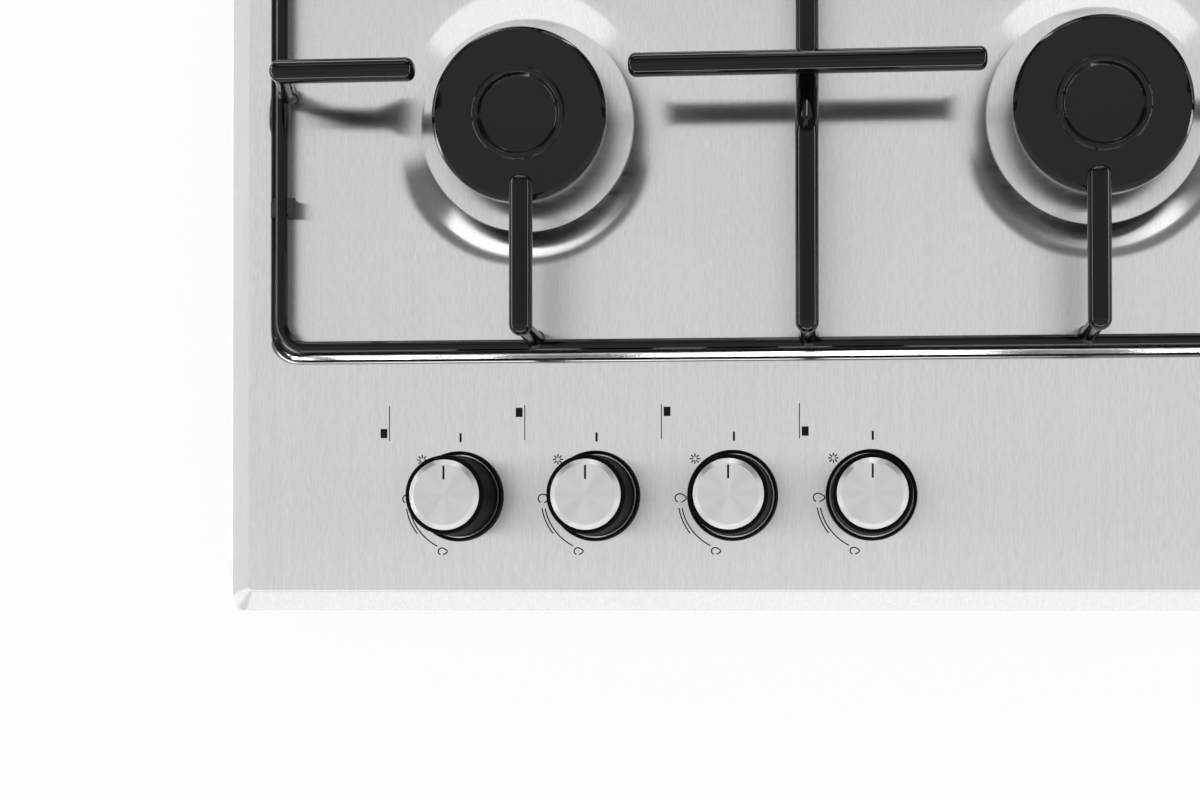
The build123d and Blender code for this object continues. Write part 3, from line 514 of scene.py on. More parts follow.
@dataclass(frozen=True)
class BrushedSteel:
    """Stainless sheet brushed from front to back: streaks along Y, and a reflection wide across them."""

    wells: Sequence["Burner"]
    colour: Colour = (0.80, 0.80, 0.795)
    shades: tuple[float, float] = (0.93, 1.06)
    tone_weights: tuple[float, float, float] = (0.70, 0.20, 0.10)
    tone_range: tuple[float, float] = (0.25, 0.75)
    roughness: float = 0.235
    bend_roughness: float = 0.115
    band_roughness: float = 0.02
    level_range: tuple[float, float] = (0.93, 0.995)
    streaks_per_metre: float = 1700.0
    streak_run: float = 0.11
    streak_depth: float = 0.000008
    bands_per_metre: float = 500.0
    band_run: float = 0.03
    clouds_per_metre: float = 9.0
    stretch_depth: float = 0.0005
    bent_share: float = 0.5

    def material(self) -> bpy.types.Material:
        """Grain and full roughness where the sheet is level, and less in its bends.

        Returns:
            The node material.
        """
        shader = Shader("brushed steel")
        surface = shader.node("ShaderNodeNewGeometry", {}, {}, "Normal")
        level = shader.node("ShaderNodeSeparateXYZ", {}, {0: surface}, "Z").step(*self.level_range)
        streaks = shader.noise(shader.coords((1.0, self.streak_run, 1.0)), self.streaks_per_metre, 3.0, 0.6)
        bands = shader.noise(shader.coords((1.0, self.band_run, 1.0)), self.bands_per_metre)
        clouds = shader.noise(shader.coords(), self.clouds_per_metre)
        of_streaks, of_bands, of_clouds = self.tone_weights
        tone = (of_streaks * streaks + of_bands * bands + of_clouds * clouds).step(*self.tone_range)
        rough = self.bend_roughness + (self.roughness - self.bend_roughness) * level
        rough += self.band_roughness * (bands - 0.5)
        height = streaks * level * self.streak_depth + self._drawn(shader)
        return shader.finish(
            Base_Color=shader.mottled(tone, self.colour, self.shades),
            Metallic=1.0,
            Roughness=rough,
            Anisotropic=1.0,
            Normal=shader.bump(height, 1.0),
        )

    def _drawn(self, shader: Shader) -> Value:
        """The wells' extra depth: nought at the rim, a parabola over the bent share, then a cone.

        Args:
            shader: The steel's shader.

        Returns:
            The height in metres, nought or less.
        """
        total: Number = 0.0
        for well in self.wells:
            run = (well.well - well.well_floor) * MM
            inset = (well.well * MM - shader.radius(well.centre)).held(0.0, run)
            bent = self.bent_share * run
            bend = inset.held(0.0, bent)
            slope = self.stretch_depth / (run * (1 - self.bent_share / 2))
            total = (inset - bend + bend * bend / (2 * bent)) * slope + total
        return -1.0 * total


@dataclass(frozen=True)
class Enamel:
    """Black vitreous enamel: a deep gloss with the slight waviness of a fired coat."""

    name: str = "black enamel"
    colour: Colour = (0.002, 0.002, 0.0021)
    roughness: float = 0.03
    wave: float = 0.000005
    specular: float = 0.5
    tint: float = 0.5
    shades: tuple[float, float] = (1.0, 1.6)
    ripples_per_metre: float = 220.0
    specks_per_metre: float = 1500.0
    speck_range: tuple[float, float] = (0.62, 0.75)
    clouds_per_metre: float = 60.0
    cloud_roughness: float = 0.04

    def material(self) -> bpy.types.Material:
        """A ripple in the gloss, with rare lighter specks.

        Returns:
            The node material.
        """
        shader = Shader(self.name)
        place = shader.coords()
        ripple = shader.noise(place, self.ripples_per_metre)
        specks = shader.noise(place, self.specks_per_metre, 1.0).step(*self.speck_range)
        clouds = shader.noise(place, self.clouds_per_metre)
        return shader.finish(
            Base_Color=shader.mottled(specks, self.colour, self.shades),
            Roughness=self.roughness + self.cloud_roughness * clouds,
            Specular_IOR_Level=self.specular,
            Specular_Tint=(self.tint, self.tint, self.tint, 1.0),
            Normal=shader.bump(ripple, self.wave),
        )


@dataclass(frozen=True)
class Metal:
    """A plain metal with grain of a given size: cast, drawn, machined or plated."""

    name: str
    colour: Colour
    roughness: float
    grain_per_metre: float
    grain_depth: float
    shades: tuple[float, float] = (0.85, 1.15)
    tone_range: tuple[float, float] = (0.3, 0.7)
    clouds_per_metre: float = 45.0
    spread: float = 0.1

    def material(self) -> bpy.types.Material:
        """Fine grain over wide clouds; the spread is how far the clouds move the roughness.

        Returns:
            The node material.
        """
        shader = Shader(self.name)
        grain = shader.noise(shader.coords(), self.grain_per_metre, 3.0, 0.6)
        cloud = shader.noise(shader.coords(), self.clouds_per_metre)
        tone = (0.5 * grain + 0.5 * cloud).step(*self.tone_range)
        return shader.finish(
            Base_Color=shader.mottled(tone, self.colour, self.shades),
            Metallic=1.0,
            Roughness=self.roughness - self.spread / 2 + self.spread * cloud,
            Normal=shader.bump(grain, self.grain_depth),
        )


@dataclass(frozen=True)
class Galvanised:
    """Zinc-coated sheet with its patchwork of crystals."""

    colour: Colour = (0.44, 0.45, 0.46)
    shades: tuple[float, float] = (0.88, 1.0)
    roughness: float = 0.42
    spread: float = 0.12
    crystals_per_metre: float = 240.0
    grain_per_metre: float = 700.0
    grain_depth: float = 0.000004

    def material(self) -> bpy.types.Material:
        """Cells of one grey each, which also sets their roughness.

        Returns:
            The node material.
        """
        shader = Shader("galvanised sheet")
        settings = {"feature": "F1", "distance": "EUCLIDEAN"}
        inputs = {"Vector": shader.coords(), "Scale": self.crystals_per_metre}
        crystal = shader.node("ShaderNodeTexVoronoi", settings, inputs, "Color")
        grey = shader.node("ShaderNodeRGBToBW", {}, {"Color": crystal})
        grain = shader.noise(shader.coords(), self.grain_per_metre)
        return shader.finish(
            Base_Color=shader.mottled(grey, self.colour, self.shades),
            Metallic=1.0,
            Roughness=self.roughness + self.spread * grey,
            Normal=shader.bump(grain, self.grain_depth),
        )


@dataclass(frozen=True)
class TurnedDisc:
    """Face-turned aluminium: rings round the knob's axis, and a reflection that fans out from it."""

    centre: tuple[float, float]
    colour: Colour = (0.74, 0.74, 0.735)
    shades: tuple[float, float] = (0.93, 1.0)
    roughness: float = 0.29
    spread: float = 0.05
    fan: float = 0.96
    fan_turn: float = 0.25
    rings_per_metre: float = 9000.0
    ring_depth: float = 0.0000015

    def material(self) -> bpy.types.Material:
        """Fine rings by the distance from the axis; the fan is how far the reflection is drawn out.

        Returns:
            The node material.
        """
        shader = Shader("turned aluminium")
        inputs = {"W": shader.radius(self.centre), "Scale": self.rings_per_metre, "Detail": 2.0}
        rings = shader.node("ShaderNodeTexNoise", {"noise_dimensions": "1D"}, inputs)
        return shader.finish(
            Base_Color=shader.mottled(rings, self.colour, self.shades),
            Metallic=1.0,
            Roughness=self.roughness + self.spread * rings,
            Anisotropic=self.fan,
            Anisotropic_Rotation=self.fan_turn,
            Normal=shader.bump(rings, self.ring_depth),
        )


@dataclass(frozen=True)
class Moulded:
    """A moulded part: plastic, rubber, foam, silicone or glaze, with its surface texture."""

    name: str
    colour: Colour
    roughness: float
    texture_per_metre: float
    texture_depth: float
    coat: float = 0.0
    coat_roughness: float = 0.12
    specular: float = 0.5
    lighter_by: tuple[float, float] = (1.25, 0.001)
    clouds_per_metre: float = 70.0
    spread: float = 0.08

    def material(self) -> bpy.types.Material:
        """Clouds of the colour and of a lighter one (a factor, then a rise), over a fine texture.

        Returns:
            The node material.
        """
        shader = Shader(self.name)
        place = shader.coords()
        texture = shader.noise(place, self.texture_per_metre)
        cloud = shader.noise(place, self.clouds_per_metre)
        factor, rise = self.lighter_by
        lighter = tuple(min(1.0, factor * part + rise) for part in self.colour)
        return shader.finish(
            Base_Color=shader.blend(cloud, self.colour, lighter),
            Roughness=self.roughness - self.spread / 2 + self.spread * cloud,
            Specular_IOR_Level=self.specular,
            Coat_Weight=self.coat,
            Coat_Roughness=self.coat_roughness,
            Normal=shader.bump(texture, self.texture_depth),
        )


class Finishes:
    """Every finish of the hob, made once and shared by the pieces."""

    def __init__(self, burners: Sequence["Burner"]) -> None:
        """Make the materials.

        Args:
            burners: The burners, whose wells the plate's finish follows.
        """
        finishes = {
            Slot.STEEL: BrushedSteel(burners),
            Slot.SUPPORT: Enamel(),
            Slot.CAP: Enamel("cap enamel", (0.0045, 0.0045, 0.0047), 0.05, 0.000004, tint=0.64),
            Slot.CAST: Metal("cast aluminium", (0.50, 0.50, 0.49), 0.48, 2200.0, 0.00003),
            Slot.PIPE: Metal("drawn aluminium", (0.66, 0.66, 0.66), 0.3, 900.0, 0.000004),
            Slot.RAIL: Metal("drawn steel", (0.46, 0.46, 0.45), 0.36, 900.0, 0.000004),
            Slot.PIN: Metal("stainless pin", (0.55, 0.55, 0.54), 0.28, 1500.0, 0.000002),
            Slot.SCREW: Metal("zinc plating", (0.62, 0.62, 0.60), 0.24, 1500.0, 0.000002),
            Slot.BRASS: Metal("machined brass", (0.70, 0.52, 0.25), 0.26, 1500.0, 0.000003),
            Slot.TRAY: Galvanised(),
            Slot.SEAL: Moulded("foam", (0.020, 0.020, 0.020), 0.85, 2500.0, 0.00012),
            Slot.PAD: Moulded("silicone rubber", (0.018, 0.018, 0.018), 0.55, 2500.0, 0.00002),
            Slot.LEAD: Moulded("lead sleeve", (0.72, 0.72, 0.69), 0.5, 2000.0, 0.00001),
            Slot.PLASTIC: Moulded("moulded plastic", (0.022, 0.022, 0.023), 0.42, 3500.0, 0.00002),
            Slot.KNOB: Moulded("knob plastic", (0.003, 0.003, 0.0032), 0.5, 4000.0, 0.000003, specular=0.02),
            Slot.CERAMIC: Moulded("glazed alumina", (0.80, 0.79, 0.75), 0.2, 900.0, 0.00001, coat=0.5),
        }
        self.by_slot = {slot: finish.material() for slot, finish in finishes.items()}
        ink = Moulded("printed ink", (0.004, 0.004, 0.004), 0.6, 5000.0, 0.000002, specular=0.15)
        self.ink = ink.material()

    def dress(
        self, piece: bpy.types.Object, slot: Slot, body: str, special: bpy.types.Material | None = None
    ) -> bpy.types.Object:
        """Give a new piece its finish, the slot's unless it has one of its own, and its body, and report it.

        Args:
            piece: The object.
            slot: The record's slot.
            body: The body that it rides on.
            special: A material of its own, where the slot's shared one doesn't do.

        Returns:
            The same object.
        """
        piece.data.materials.clear()
        piece.data.materials.append(special or self.by_slot[slot])
        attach(piece, body)
        LOG.info("%s on %s", piece.name, body)
        return piece


# ---------------------------------------------------------------- the plate
@dataclass
class TopPlate:
    """The pressed plate, with its rim, recess and wells as smooth surfaces one sheet thick. Sizes in mm."""

    finishes: Finishes
    width: float = 580.0
    depth: float = 510.0
    sheet: float = 1.0
    rim_bottom: float = 46.0
    panel_top: float = 51.0
    rim_bevel: float = 10.7
    rim_corner: float = 9.0
    crease_corner: float = 2.0
    least_corner: float = 0.5
    crease_bend: float = 3.0
    recess_size: tuple[float, float] = (538.4, 364.7)
    recess_middle: float = 51.85
    recess_drop: float = 4.0
    recess_corner: float = 15.0
    recess_bend: float = 4.6
    edge_height: float = 0.8
    edge_bend: float = 1.0
    well_drop: float = 5.0
    well_outer_share: float = 0.5
    foot_bend: float = 4.0
    foot_reach: float = 0.5
    around_well: int = 144
    hole_gap: float = 1.5
    electrode_hole: float = 3.3
    knob_hole: float = 6.0

    def build(self, burners: Sequence["Burner"], knobs: Sequence["Knob"]) -> bpy.types.Object:
        """Make the plate.

        Args:
            burners: The burners, which give the wells and their holes.
            knobs: The knobs, which give the panel's holes.

        Returns:
            The finished plate.
        """
        recess_top = self.panel_top - self.recess_drop
        floor_top = recess_top - self.well_drop
        rim_top, rim_under, crease = self._rim()
        wall, lip, foot = self._recess_wall()
        knob_holes = [circle(self.knob_hole, knob.centre, 32) for knob in knobs]
        upper = [wall, flat_region(crease, [lip, *knob_holes], self.panel_top)]
        edges = [self._hole_wall(hole, self.panel_top) for hole in knob_holes]
        well_tops = []
        for burner in burners:
            flank, rim, floor = self._well(burner)
            hole = circle(burner.spigot + self.hole_gap, burner.centre, 96)
            small = circle(self.electrode_hole, burner.electrode, 24)
            upper += [flank, flat_region(floor, [hole, small], floor_top)]
            edges += [self._hole_wall(hole, floor_top), self._hole_wall(small, floor_top)]
            well_tops.append(rim)
        upper.append(flat_region(foot, well_tops, recess_top))
        under = [raised(patch, -self.sheet) for patch in upper]
        plate = mesh_object("plate", [rim_top, rim_under, *upper, *under, *edges], sharp=40.0)
        self._straight_grain(plate)
        self.finishes.dress(plate, Slot.STEEL, "hob")
        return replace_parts(plate, "top_plate")

    def _rim(self) -> tuple[Patch, Patch, Array]:
        """The bevel: rounded rectangles at each inset and height, eased at the edge and the crease.

        Returns:
            Its upper and its lower surface, and the loop where it meets the panel.
        """
        corners = [
            (0.0, self.rim_bottom),
            (0.0, self.rim_bottom + self.edge_height),
            (self.rim_bevel, self.panel_top),
            (2 * self.rim_bevel, self.panel_top),
        ]
        profile = filleted(corners, (self.edge_bend, self.crease_bend), 6)[:-1]
        slope = (self.rim_corner - self.crease_corner) / self.rim_bevel
        upper, lower = [], []
        for inset, height in profile:
            corner = max(self.rim_corner - slope * inset, self.least_corner)
            loop = rounded_rectangle(self.width - 2 * inset, self.depth - 2 * inset, corner)
            upper.append(at_height(loop, height))
            lower.append(at_height(loop, max(height - self.sheet, self.rim_bottom)))
        return stacked(upper), stacked(lower), upper[-1][:, :2]

    def _recess_wall(self) -> tuple[Patch, Array, Array]:
        """The recess's wall: a 45 degree slope with a bend at its lip and at its foot.

        Returns:
            The wall, and its loops at the lip and at the foot.
        """
        drop = self.recess_drop
        low = self.panel_top - drop
        corners = [(-drop, self.panel_top), (0.0, self.panel_top), (drop, low), (2 * drop, low)]
        loops = []
        for inset, height in filleted(corners, self.recess_bend, 8)[1:-1]:
            width, depth = (size - 2 * inset for size in self.recess_size)
            loop = rounded_rectangle(width, depth, self.recess_corner - inset, self.recess_middle)
            loops.append(at_height(loop, height))
        return stacked(loops), loops[0][:, :2], loops[-1][:, :2]

    def _well(self, burner: "Burner") -> tuple[Patch, Array, Array]:
        """A well's flank: an arc that leaves the recess level, a cone, and a tight bend onto the floor.

        Args:
            burner: The burner that stands in it.

        Returns:
            The flank, and its loops at the recess and at the floor.
        """
        top = self.panel_top - self.recess_drop
        floor = top - self.well_drop
        run = burner.well - burner.well_floor
        bent = self.well_outer_share * run
        slope = self.well_drop / (run * (1 - self.well_outer_share / 2))
        inset = np.linspace(0.0, bent, 15)
        arc = np.column_stack([burner.well - inset, top - slope * inset**2 / (2 * bent)])
        inner = burner.well_floor - self.foot_reach
        corners = [arc[-1], (burner.well_floor + self.foot_reach, floor), (inner, floor)]
        foot = filleted(corners, self.foot_bend, 6)[1:]
        cone = np.linspace(arc[-1], foot[0], 6)[1:-1]
        flank = turned(np.concatenate([arc, cone, foot]), burner.centre, self.around_well)
        rim, ground = (circle(radius, burner.centre, self.around_well) for radius in (burner.well, inner))
        return flank, rim, ground

    def _hole_wall(self, hole: Array, height: float) -> Patch:
        """The cut edge of a hole, from the upper surface to the lower one."""
        return stacked([at_height(hole, height), at_height(hole, height - self.sheet)])

    def _straight_grain(self, plate: bpy.types.Object) -> None:
        """Put the texture space's middle far in front, so that the default tangent runs along X.

        Args:
            plate: The plate.
        """
        plate.data.use_auto_texspace = False
        plate.data.texspace_location = (0.0, -1000.0, 0.0)
        plate.data.texspace_size = (1.0, 1.0, 1.0)


# ---------------------------------------------------------------- burners
@dataclass
class Burner:
    """One burner: its place, the point that its fingers aim at, its radii and its cap. Sizes in mm."""

    name: str
    centre: tuple[float, float]
    aim: tuple[float, float]
    cap: float
    ported: float
    spigot: float
    well_floor: float
    well: float
    dish: float
    gap: float
    spreader_top: float = 56.5
    cap_thick: float = 6.5
    cap_edge: float = 2.0
    cap_edge_drop: float = 1.5
    ring_depth: float = 4.0
    ring_inset: float = 7.3
    bead: float = 1.2
    bead_height: float = 1.1
    bead_slope: float = 0.2
    dish_depth: float = 1.6
    dish_slope: float = 1.8
    electrode_reach: float = 5.9
    electrode_bearing: float = 85.0
    easings: Sequence[float] = (0.3, 0.3, 0.8, 1.2, 1.6, 0.4, 1.0, 1.1, 1.2)

    @property
    def electrode(self) -> tuple[float, float]:
        """The electrode's axis, at the back of the burner.

        Returns:
            Its X and Y.
        """
        reach = self.ported + self.electrode_reach
        bearing = math.radians(self.electrode_bearing)
        return self.centre[0] + reach * math.cos(bearing), self.centre[1] + reach * math.sin(bearing)

    def build(self, finishes: Finishes) -> bpy.types.Object:
        """Make the enamelled cap, a turned profile with its bead, dish and eased edges.

        Args:
            finishes: The hob's finishes.

        Returns:
            The finished cap.
        """
        top = self.spreader_top + self.cap_thick
        floor = top - self.dish_depth
        inner = self.ported - self.ring_inset
        foot = self.spreader_top - self.ring_depth
        lip = self.dish - 2 * self.bead
        corners = [
            (0.0, foot),
            (inner, foot),
            (inner, self.spreader_top),
            (self.cap, self.spreader_top),
            (self.cap, top - self.cap_edge_drop),
            (self.cap - self.cap_edge, top),
            (self.dish + self.bead_slope, top),
            (self.dish, top + self.bead_height),
            (lip, top + self.bead_height),
            (lip - self.dish_slope, floor),
            (0.0, floor),
        ]
        profile = filleted(corners, self.easings, 6)
        piece = mesh_object(f"cap_{self.name}", [turned(profile, self.centre, 144)], sharp=60.0)
        finishes.dress(piece, Slot.CAP, f"cap_{self.name}")
        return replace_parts(piece, f"burner_cap_{self.name}")


# ---------------------------------------------------------------- pan support
@dataclass
class PanSupport:
    """The one-piece support: a bent rod frame, thick bars on splayed legs, and weld beads. Sizes in mm."""

    finishes: Finishes
    burners: Sequence[Burner]
    rod: float = 3.0
    rod_x: float = 262.0
    rod_front: float = -123.3
    rod_back: float = 227.0
    rod_corner: float = 13.0
    rod_z: float = 52.5
    bar: float = 5.5
    bar_z: float = 85.0
    bar_tip: float = 3.6
    low_z: float = 74.4
    end_inset: float = 7.0
    leg: float = 4.0
    leg_splay: float = 2.5
    weld: float = 5.2
    weld_length: float = 6.0
    slope_run: float = 30.0
    slope_ease: float = 0.14
    slope_bend: float = 18.0
    crossing: float = 6.0

    def build(self) -> None:
        """Make every piece of the support."""
        x_axis, y_axis, z_axis = (1.0, 0.0, 0.0), (0.0, 1.0, 0.0), (0.0, 0.0, 1.0)
        middle = (self.rod_back + self.rod_front) / 2
        loop = rounded_rectangle(2 * self.rod_x, self.rod_back - self.rod_front, self.rod_corner, middle, 16)
        self._piece("frame_rod", [looped(at_height(loop, self.rod_z), self.rod, z_axis)], "perimeter_frame")

        sides, ends = [], []
        for burner in self.burners:
            (aim_x, aim_y), gap = burner.aim, burner.gap
            side = 1 if aim_x > 0 else -1
            outer = (side * (self.rod_x - self.end_inset), aim_y, self.bar_z)
            foot = (side * (self.rod_x - self.leg_splay), aim_y, self.rod_z)
            sides += self._finger(outer, (aim_x + side * gap, aim_y, self.bar_z), foot, y_axis)
            way = -1 if aim_y < middle else 1
            edge = self.rod_front if way < 0 else self.rod_back
            tip = (aim_x, aim_y + way * gap, self.bar_z)
            foot = (aim_x, edge - way * self.leg_splay, self.rod_z)
            ends += self._finger((aim_x, edge, self.bar_z), tip, foot, x_axis)
        self._piece("side_bars", sides, "side_fingers")
        self._piece("end_bars", ends, "end_fingers")

        fronts, rears = self._rows()
        crosses = []
        for left, right in (fronts, rears):
            start = (left.aim[0] + left.gap, left.aim[1], self.bar_z)
            end = (right.aim[0] - right.gap, right.aim[1], self.bar_z)
            crosses.append(self._bar(start, end, y_axis, False))
        self._piece("cross_bars_smooth", crosses, "cross_bars")

        short = []
        for front, rear in zip(fronts, rears):
            start = (front.aim[0], front.aim[1] + front.gap, self.bar_z)
            end = (front.aim[0], rear.aim[1] - rear.gap, self.bar_z)
            short.append(self._bar(start, end, x_axis, False))
        self._piece("middle_fingers_smooth", short, "middle_fingers")
        self._piece("long_bar", self._spine(fronts[0], rears[0], x_axis), "spine")
        self._piece("low_bars", self._low_bars(fronts[0], rears[0], y_axis), "middle_bars")

    def _piece(self, name: str, parts: Sequence[Patch], node: str) -> None:
        """Weld and dress one piece, which replaces its node."""
        piece = mesh_object(name, parts, sharp=50.0)
        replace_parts(self.finishes.dress(piece, Slot.SUPPORT, "pan_support"), node)

    def _rows(self) -> list[list[Burner]]:
        """The burners in pairs, left one first, front pair before rear pair."""
        across = sorted(self.burners, key=lambda burner: burner.centre[0])
        return [[burner for burner in across if burner.name.startswith(row)] for row in ("front", "rear")]

    def _bar(self, start: Point, end: Point, binormal: Point, domed: bool) -> Patch:
        """A straight bar: its radius follows a quarter circle at each end.

        Args:
            start: The middle of its first end, in mm.
            end: The middle of its other end.
            binormal: A unit vector square to it.
            domed: Whether its first end is a full dome, as over a leg.

        Returns:
            Points in metres, and faces.
        """
        length = math.dist(start, end)
        first = self.bar if domed else self.bar_tip
        turn = np.linspace(0.0, np.pi / 2, 13)
        near = first * (1 - np.cos(turn))
        far = length - self.bar_tip * (1 - np.cos(turn[::-1]))
        near_radius = self.bar - first + first * np.sin(turn)
        far_radius = self.bar - self.bar_tip + self.bar_tip * np.sin(turn[::-1])
        places = np.concatenate([[0.0], near, far, [length]])
        radii = np.concatenate([[0.0], near_radius, far_radius, [0.0]])
        return straight(start, end, places, radii, binormal)

    def _leg(self, top: Point, foot: Point, binormal: Point) -> Patch:
        """A leg that swells into a weld bead where it meets the rod.

        Args:
            top: The middle of its upper end, in mm.
            foot: The middle of its lower end, in the rod.
            binormal: A unit vector square to it.

        Returns:
            Points in metres, and faces.
        """
        length = math.dist(top, foot)
        bead = np.linspace(length - self.weld_length, length, 12)
        places = np.concatenate([[0.0, 0.0], bead, [length]])
        share = np.clip((places - bead[0]) / self.weld_length, 0.0, 1.0)
        radii = self.leg + (self.weld - self.leg) * (1 - np.cos(np.pi * share)) / 2
        radii[[0, -1]] = 0.0
        return straight(top, foot, places, radii, binormal, 32)

    def _finger(self, outer: Point, tip: Point, foot: Point, binormal: Point) -> list[Patch]:
        """A finger: its bar, and the leg under its domed end.

        Args:
            outer: The middle of its domed end, in mm.
            tip: The middle of its tip.
            foot: Where its leg ends in the rod.
            binormal: A unit vector square to both.

        Returns:
            The bar and the leg.
        """
        here, there = np.array(outer), np.array(tip)
        top = here + (there - here) / math.dist(outer, tip) * self.bar
        return [self._bar(outer, tip, binormal, True), self._leg(tuple(top), foot, binormal)]

    def _spine(self, front: Burner, rear: Burner, binormal: Point) -> list[Patch]:
        """The long bar: domed ends, straight runs, and a dip joined by tangent arcs.

        Args:
            front: A burner of the front pair.
            rear: A burner of the rear pair.
            binormal: The normal of the bar's plane.

        Returns:
            The bar and its two legs.
        """
        low_front = front.aim[1] - self.crossing
        low_rear = rear.aim[1] + self.crossing
        ease = self.slope_run * self.slope_ease
        corners = [
            (0.0, self.rod_front + self.bar, self.bar_z),
            (0.0, low_front - self.slope_run + ease, self.bar_z),
            (0.0, low_front - ease, self.low_z),
            (0.0, low_rear + ease, self.low_z),
            (0.0, low_rear + self.slope_run - ease, self.bar_z),
            (0.0, self.rod_back - self.bar, self.bar_z),
        ]
        path = filleted(corners, self.slope_bend, 12)
        turn = np.linspace(0.0, np.pi / 2, 13)[:-1]
        dome = np.outer(self.bar * np.cos(turn), (0.0, 1.0, 0.0))
        dome_radii = self.bar * np.sin(turn)
        whole = np.concatenate([path[0] - dome, path, (path[-1] + dome)[::-1]])
        radii = np.concatenate([dome_radii, np.full(len(path), self.bar), dome_radii[::-1]])
        parts = [carried(whole, radii, binormal)]
        for end, way in ((self.rod_front, 1), (self.rod_back, -1)):
            foot = (0.0, end + way * self.leg_splay, self.rod_z)
            parts.append(self._leg((0.0, end + way * self.bar, self.bar_z), foot, binormal))
        return parts

    def _low_bars(self, front: Burner, rear: Burner, binormal: Point) -> list[Patch]:
        """The low bars from the sides to the long bar, midway between the rows' fingers.

        Args:
            front: A burner of the front pair.
            rear: A burner of the rear pair.
            binormal: A unit vector square to the bars.

        Returns:
            The bars and their legs.
        """
        row = (front.aim[1] + front.gap + rear.aim[1] - rear.gap) / 2
        parts = []
        for side in (-1, 1):
            outer = (side * (self.rod_x - self.end_inset), row, self.low_z)
            foot = (side * (self.rod_x - self.leg_splay), row, self.rod_z)
            parts += self._finger(outer, (side * self.bar_tip, row, self.low_z), foot, binormal)
        return parts


# ---------------------------------------------------------------- knobs and printed signs
@dataclass
class Knob:
    """One knob: its body, turned disc, pointer line and foot ring. Sizes in mm."""

    number: int
    centre: tuple[float, float]
    bottom: float = 54.2
    top: float = 77.6
    base: float = 20.0
    rim: float = 18.9
    edge: float = 0.8
    hollow: float = 18.0
    disc: float = 16.8
    disc_flat: float = 14.4
    disc_thick: float = 1.0
    disc_gap: float = 0.2
    disc_seat: float = 0.5
    disc_sink: float = 0.4
    bore: float = 4.05
    bezel: float = 22.4
    bezel_inner: float = 20.6
    bezel_height: float = 3.4
    bezel_slope: float = 0.5
    panel_top: float = 51.0
    pointer: tuple[float, float] = (1.0, 6.6)
    pointer_inset: float = 0.6
    body_easings: Sequence[float] = (0.0, 0.0, 0.4, 0.5, 0.4, 0.0, 0.0)
    disc_easings: Sequence[float] = (0.0, 0.15, 0.3)
    bezel_easings: Sequence[float] = (0.1, 0.5, 0.3)

    @property
    def body(self) -> str:
        """The body that its pieces ride on."""
        return f"knob_{self.number}"

    def build(self, finishes: Finishes) -> None:
        """Make the drum, the disc and the pointer, which ride together.

        Args:
            finishes: The hob's finishes.
        """
        self._drum(finishes)
        self._disc(finishes)
        self._pointer(finishes)

    def _drum(self, finishes: Finishes) -> None:
        """The plastic body: a turned profile with a bore below and a seat for the disc above.

        Args:
            finishes: The hob's finishes.
        """
        seat = self.disc + self.disc_gap
        corners = [
            (0.0, self.bottom + self.hollow),
            (self.bore, self.bottom + self.hollow),
            (self.bore, self.bottom),
            (self.base, self.bottom),
            (self.rim, self.top - self.edge),
            (self.rim - self.edge, self.top),
            (seat, self.top),
            (seat, self.top - self.disc_seat),
            (0.0, self.top - self.disc_seat),
        ]
        profile = filleted(corners, self.body_easings, 6)
        drum = mesh_object(f"knob_body_{self.number}", [turned(profile, self.centre)], sharp=45.0)
        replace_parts(finishes.dress(drum, Slot.KNOB, self.body), f"knob_{self.number}")

    def _disc(self, finishes: Finishes) -> None:
        """The metal disc, flat with a chamfered rim.

        Args:
            finishes: The hob's finishes.
        """
        face = self.top + self.disc_thick
        corners = [
            (0.0, self.top - self.disc_sink),
            (self.disc, self.top - self.disc_sink),
            (self.disc, self.top),
            (self.disc_flat, face),
            (0.0, face),
        ]
        profile = filleted(corners, self.disc_easings, 5)
        surface = turned(profile, self.centre, 128)
        insert = mesh_object(f"knob_insert_{self.number}", [surface], sharp=12.0)
        finishes.dress(insert, Slot.DISC, self.body, TurnedDisc(self.centre).material())
        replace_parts(insert, f"knob_disc_{self.number}")

    def _pointer(self, finishes: Finishes) -> None:
        """The pointer line, printed on the disc.

        Args:
            finishes: The hob's finishes.
        """
        width, length = self.pointer
        outer = self.disc_flat - self.pointer_inset
        line = stroke([(0.0, outer - length), (0.0, outer)], width)
        outline = line + np.array(self.centre)
        mark = printed(f"knob_pointer_{self.number}", [outline], self.top + self.disc_thick)
        finishes.dress(mark, Slot.KNOB, self.body, finishes.ink)

    def foot_ring(self) -> Patch:
        """The ring round the knob's foot, as a closed profile turned about the knob's axis.

        Returns:
            Points in metres, and faces.
        """
        top = self.panel_top + self.bezel_height
        corners = [
            (self.bezel_inner, self.panel_top),
            (self.bezel, self.panel_top),
            (self.bezel - self.bezel_slope, top),
            (self.bezel_inner, top),
            (self.bezel_inner, self.panel_top),
        ]
        return turned(filleted(corners, self.bezel_easings, 5), self.centre)


def stroke(points: Sequence[Sequence[float]], width: float) -> Array:
    """The outline of a line drawn with a square pen: the path moved half a width each way, squarely to it.

    Args:
        points: The path, in mm.
        width: The pen's width.

    Returns:
        The closed outline.
    """
    path = np.asarray(points, dtype=float)
    along = np.gradient(path, axis=0)
    along /= np.linalg.norm(along, axis=1, keepdims=True)
    normal = np.column_stack([-along[:, 1], along[:, 0]]) * width / 2
    return np.concatenate([path + normal, (path - normal)[::-1]])


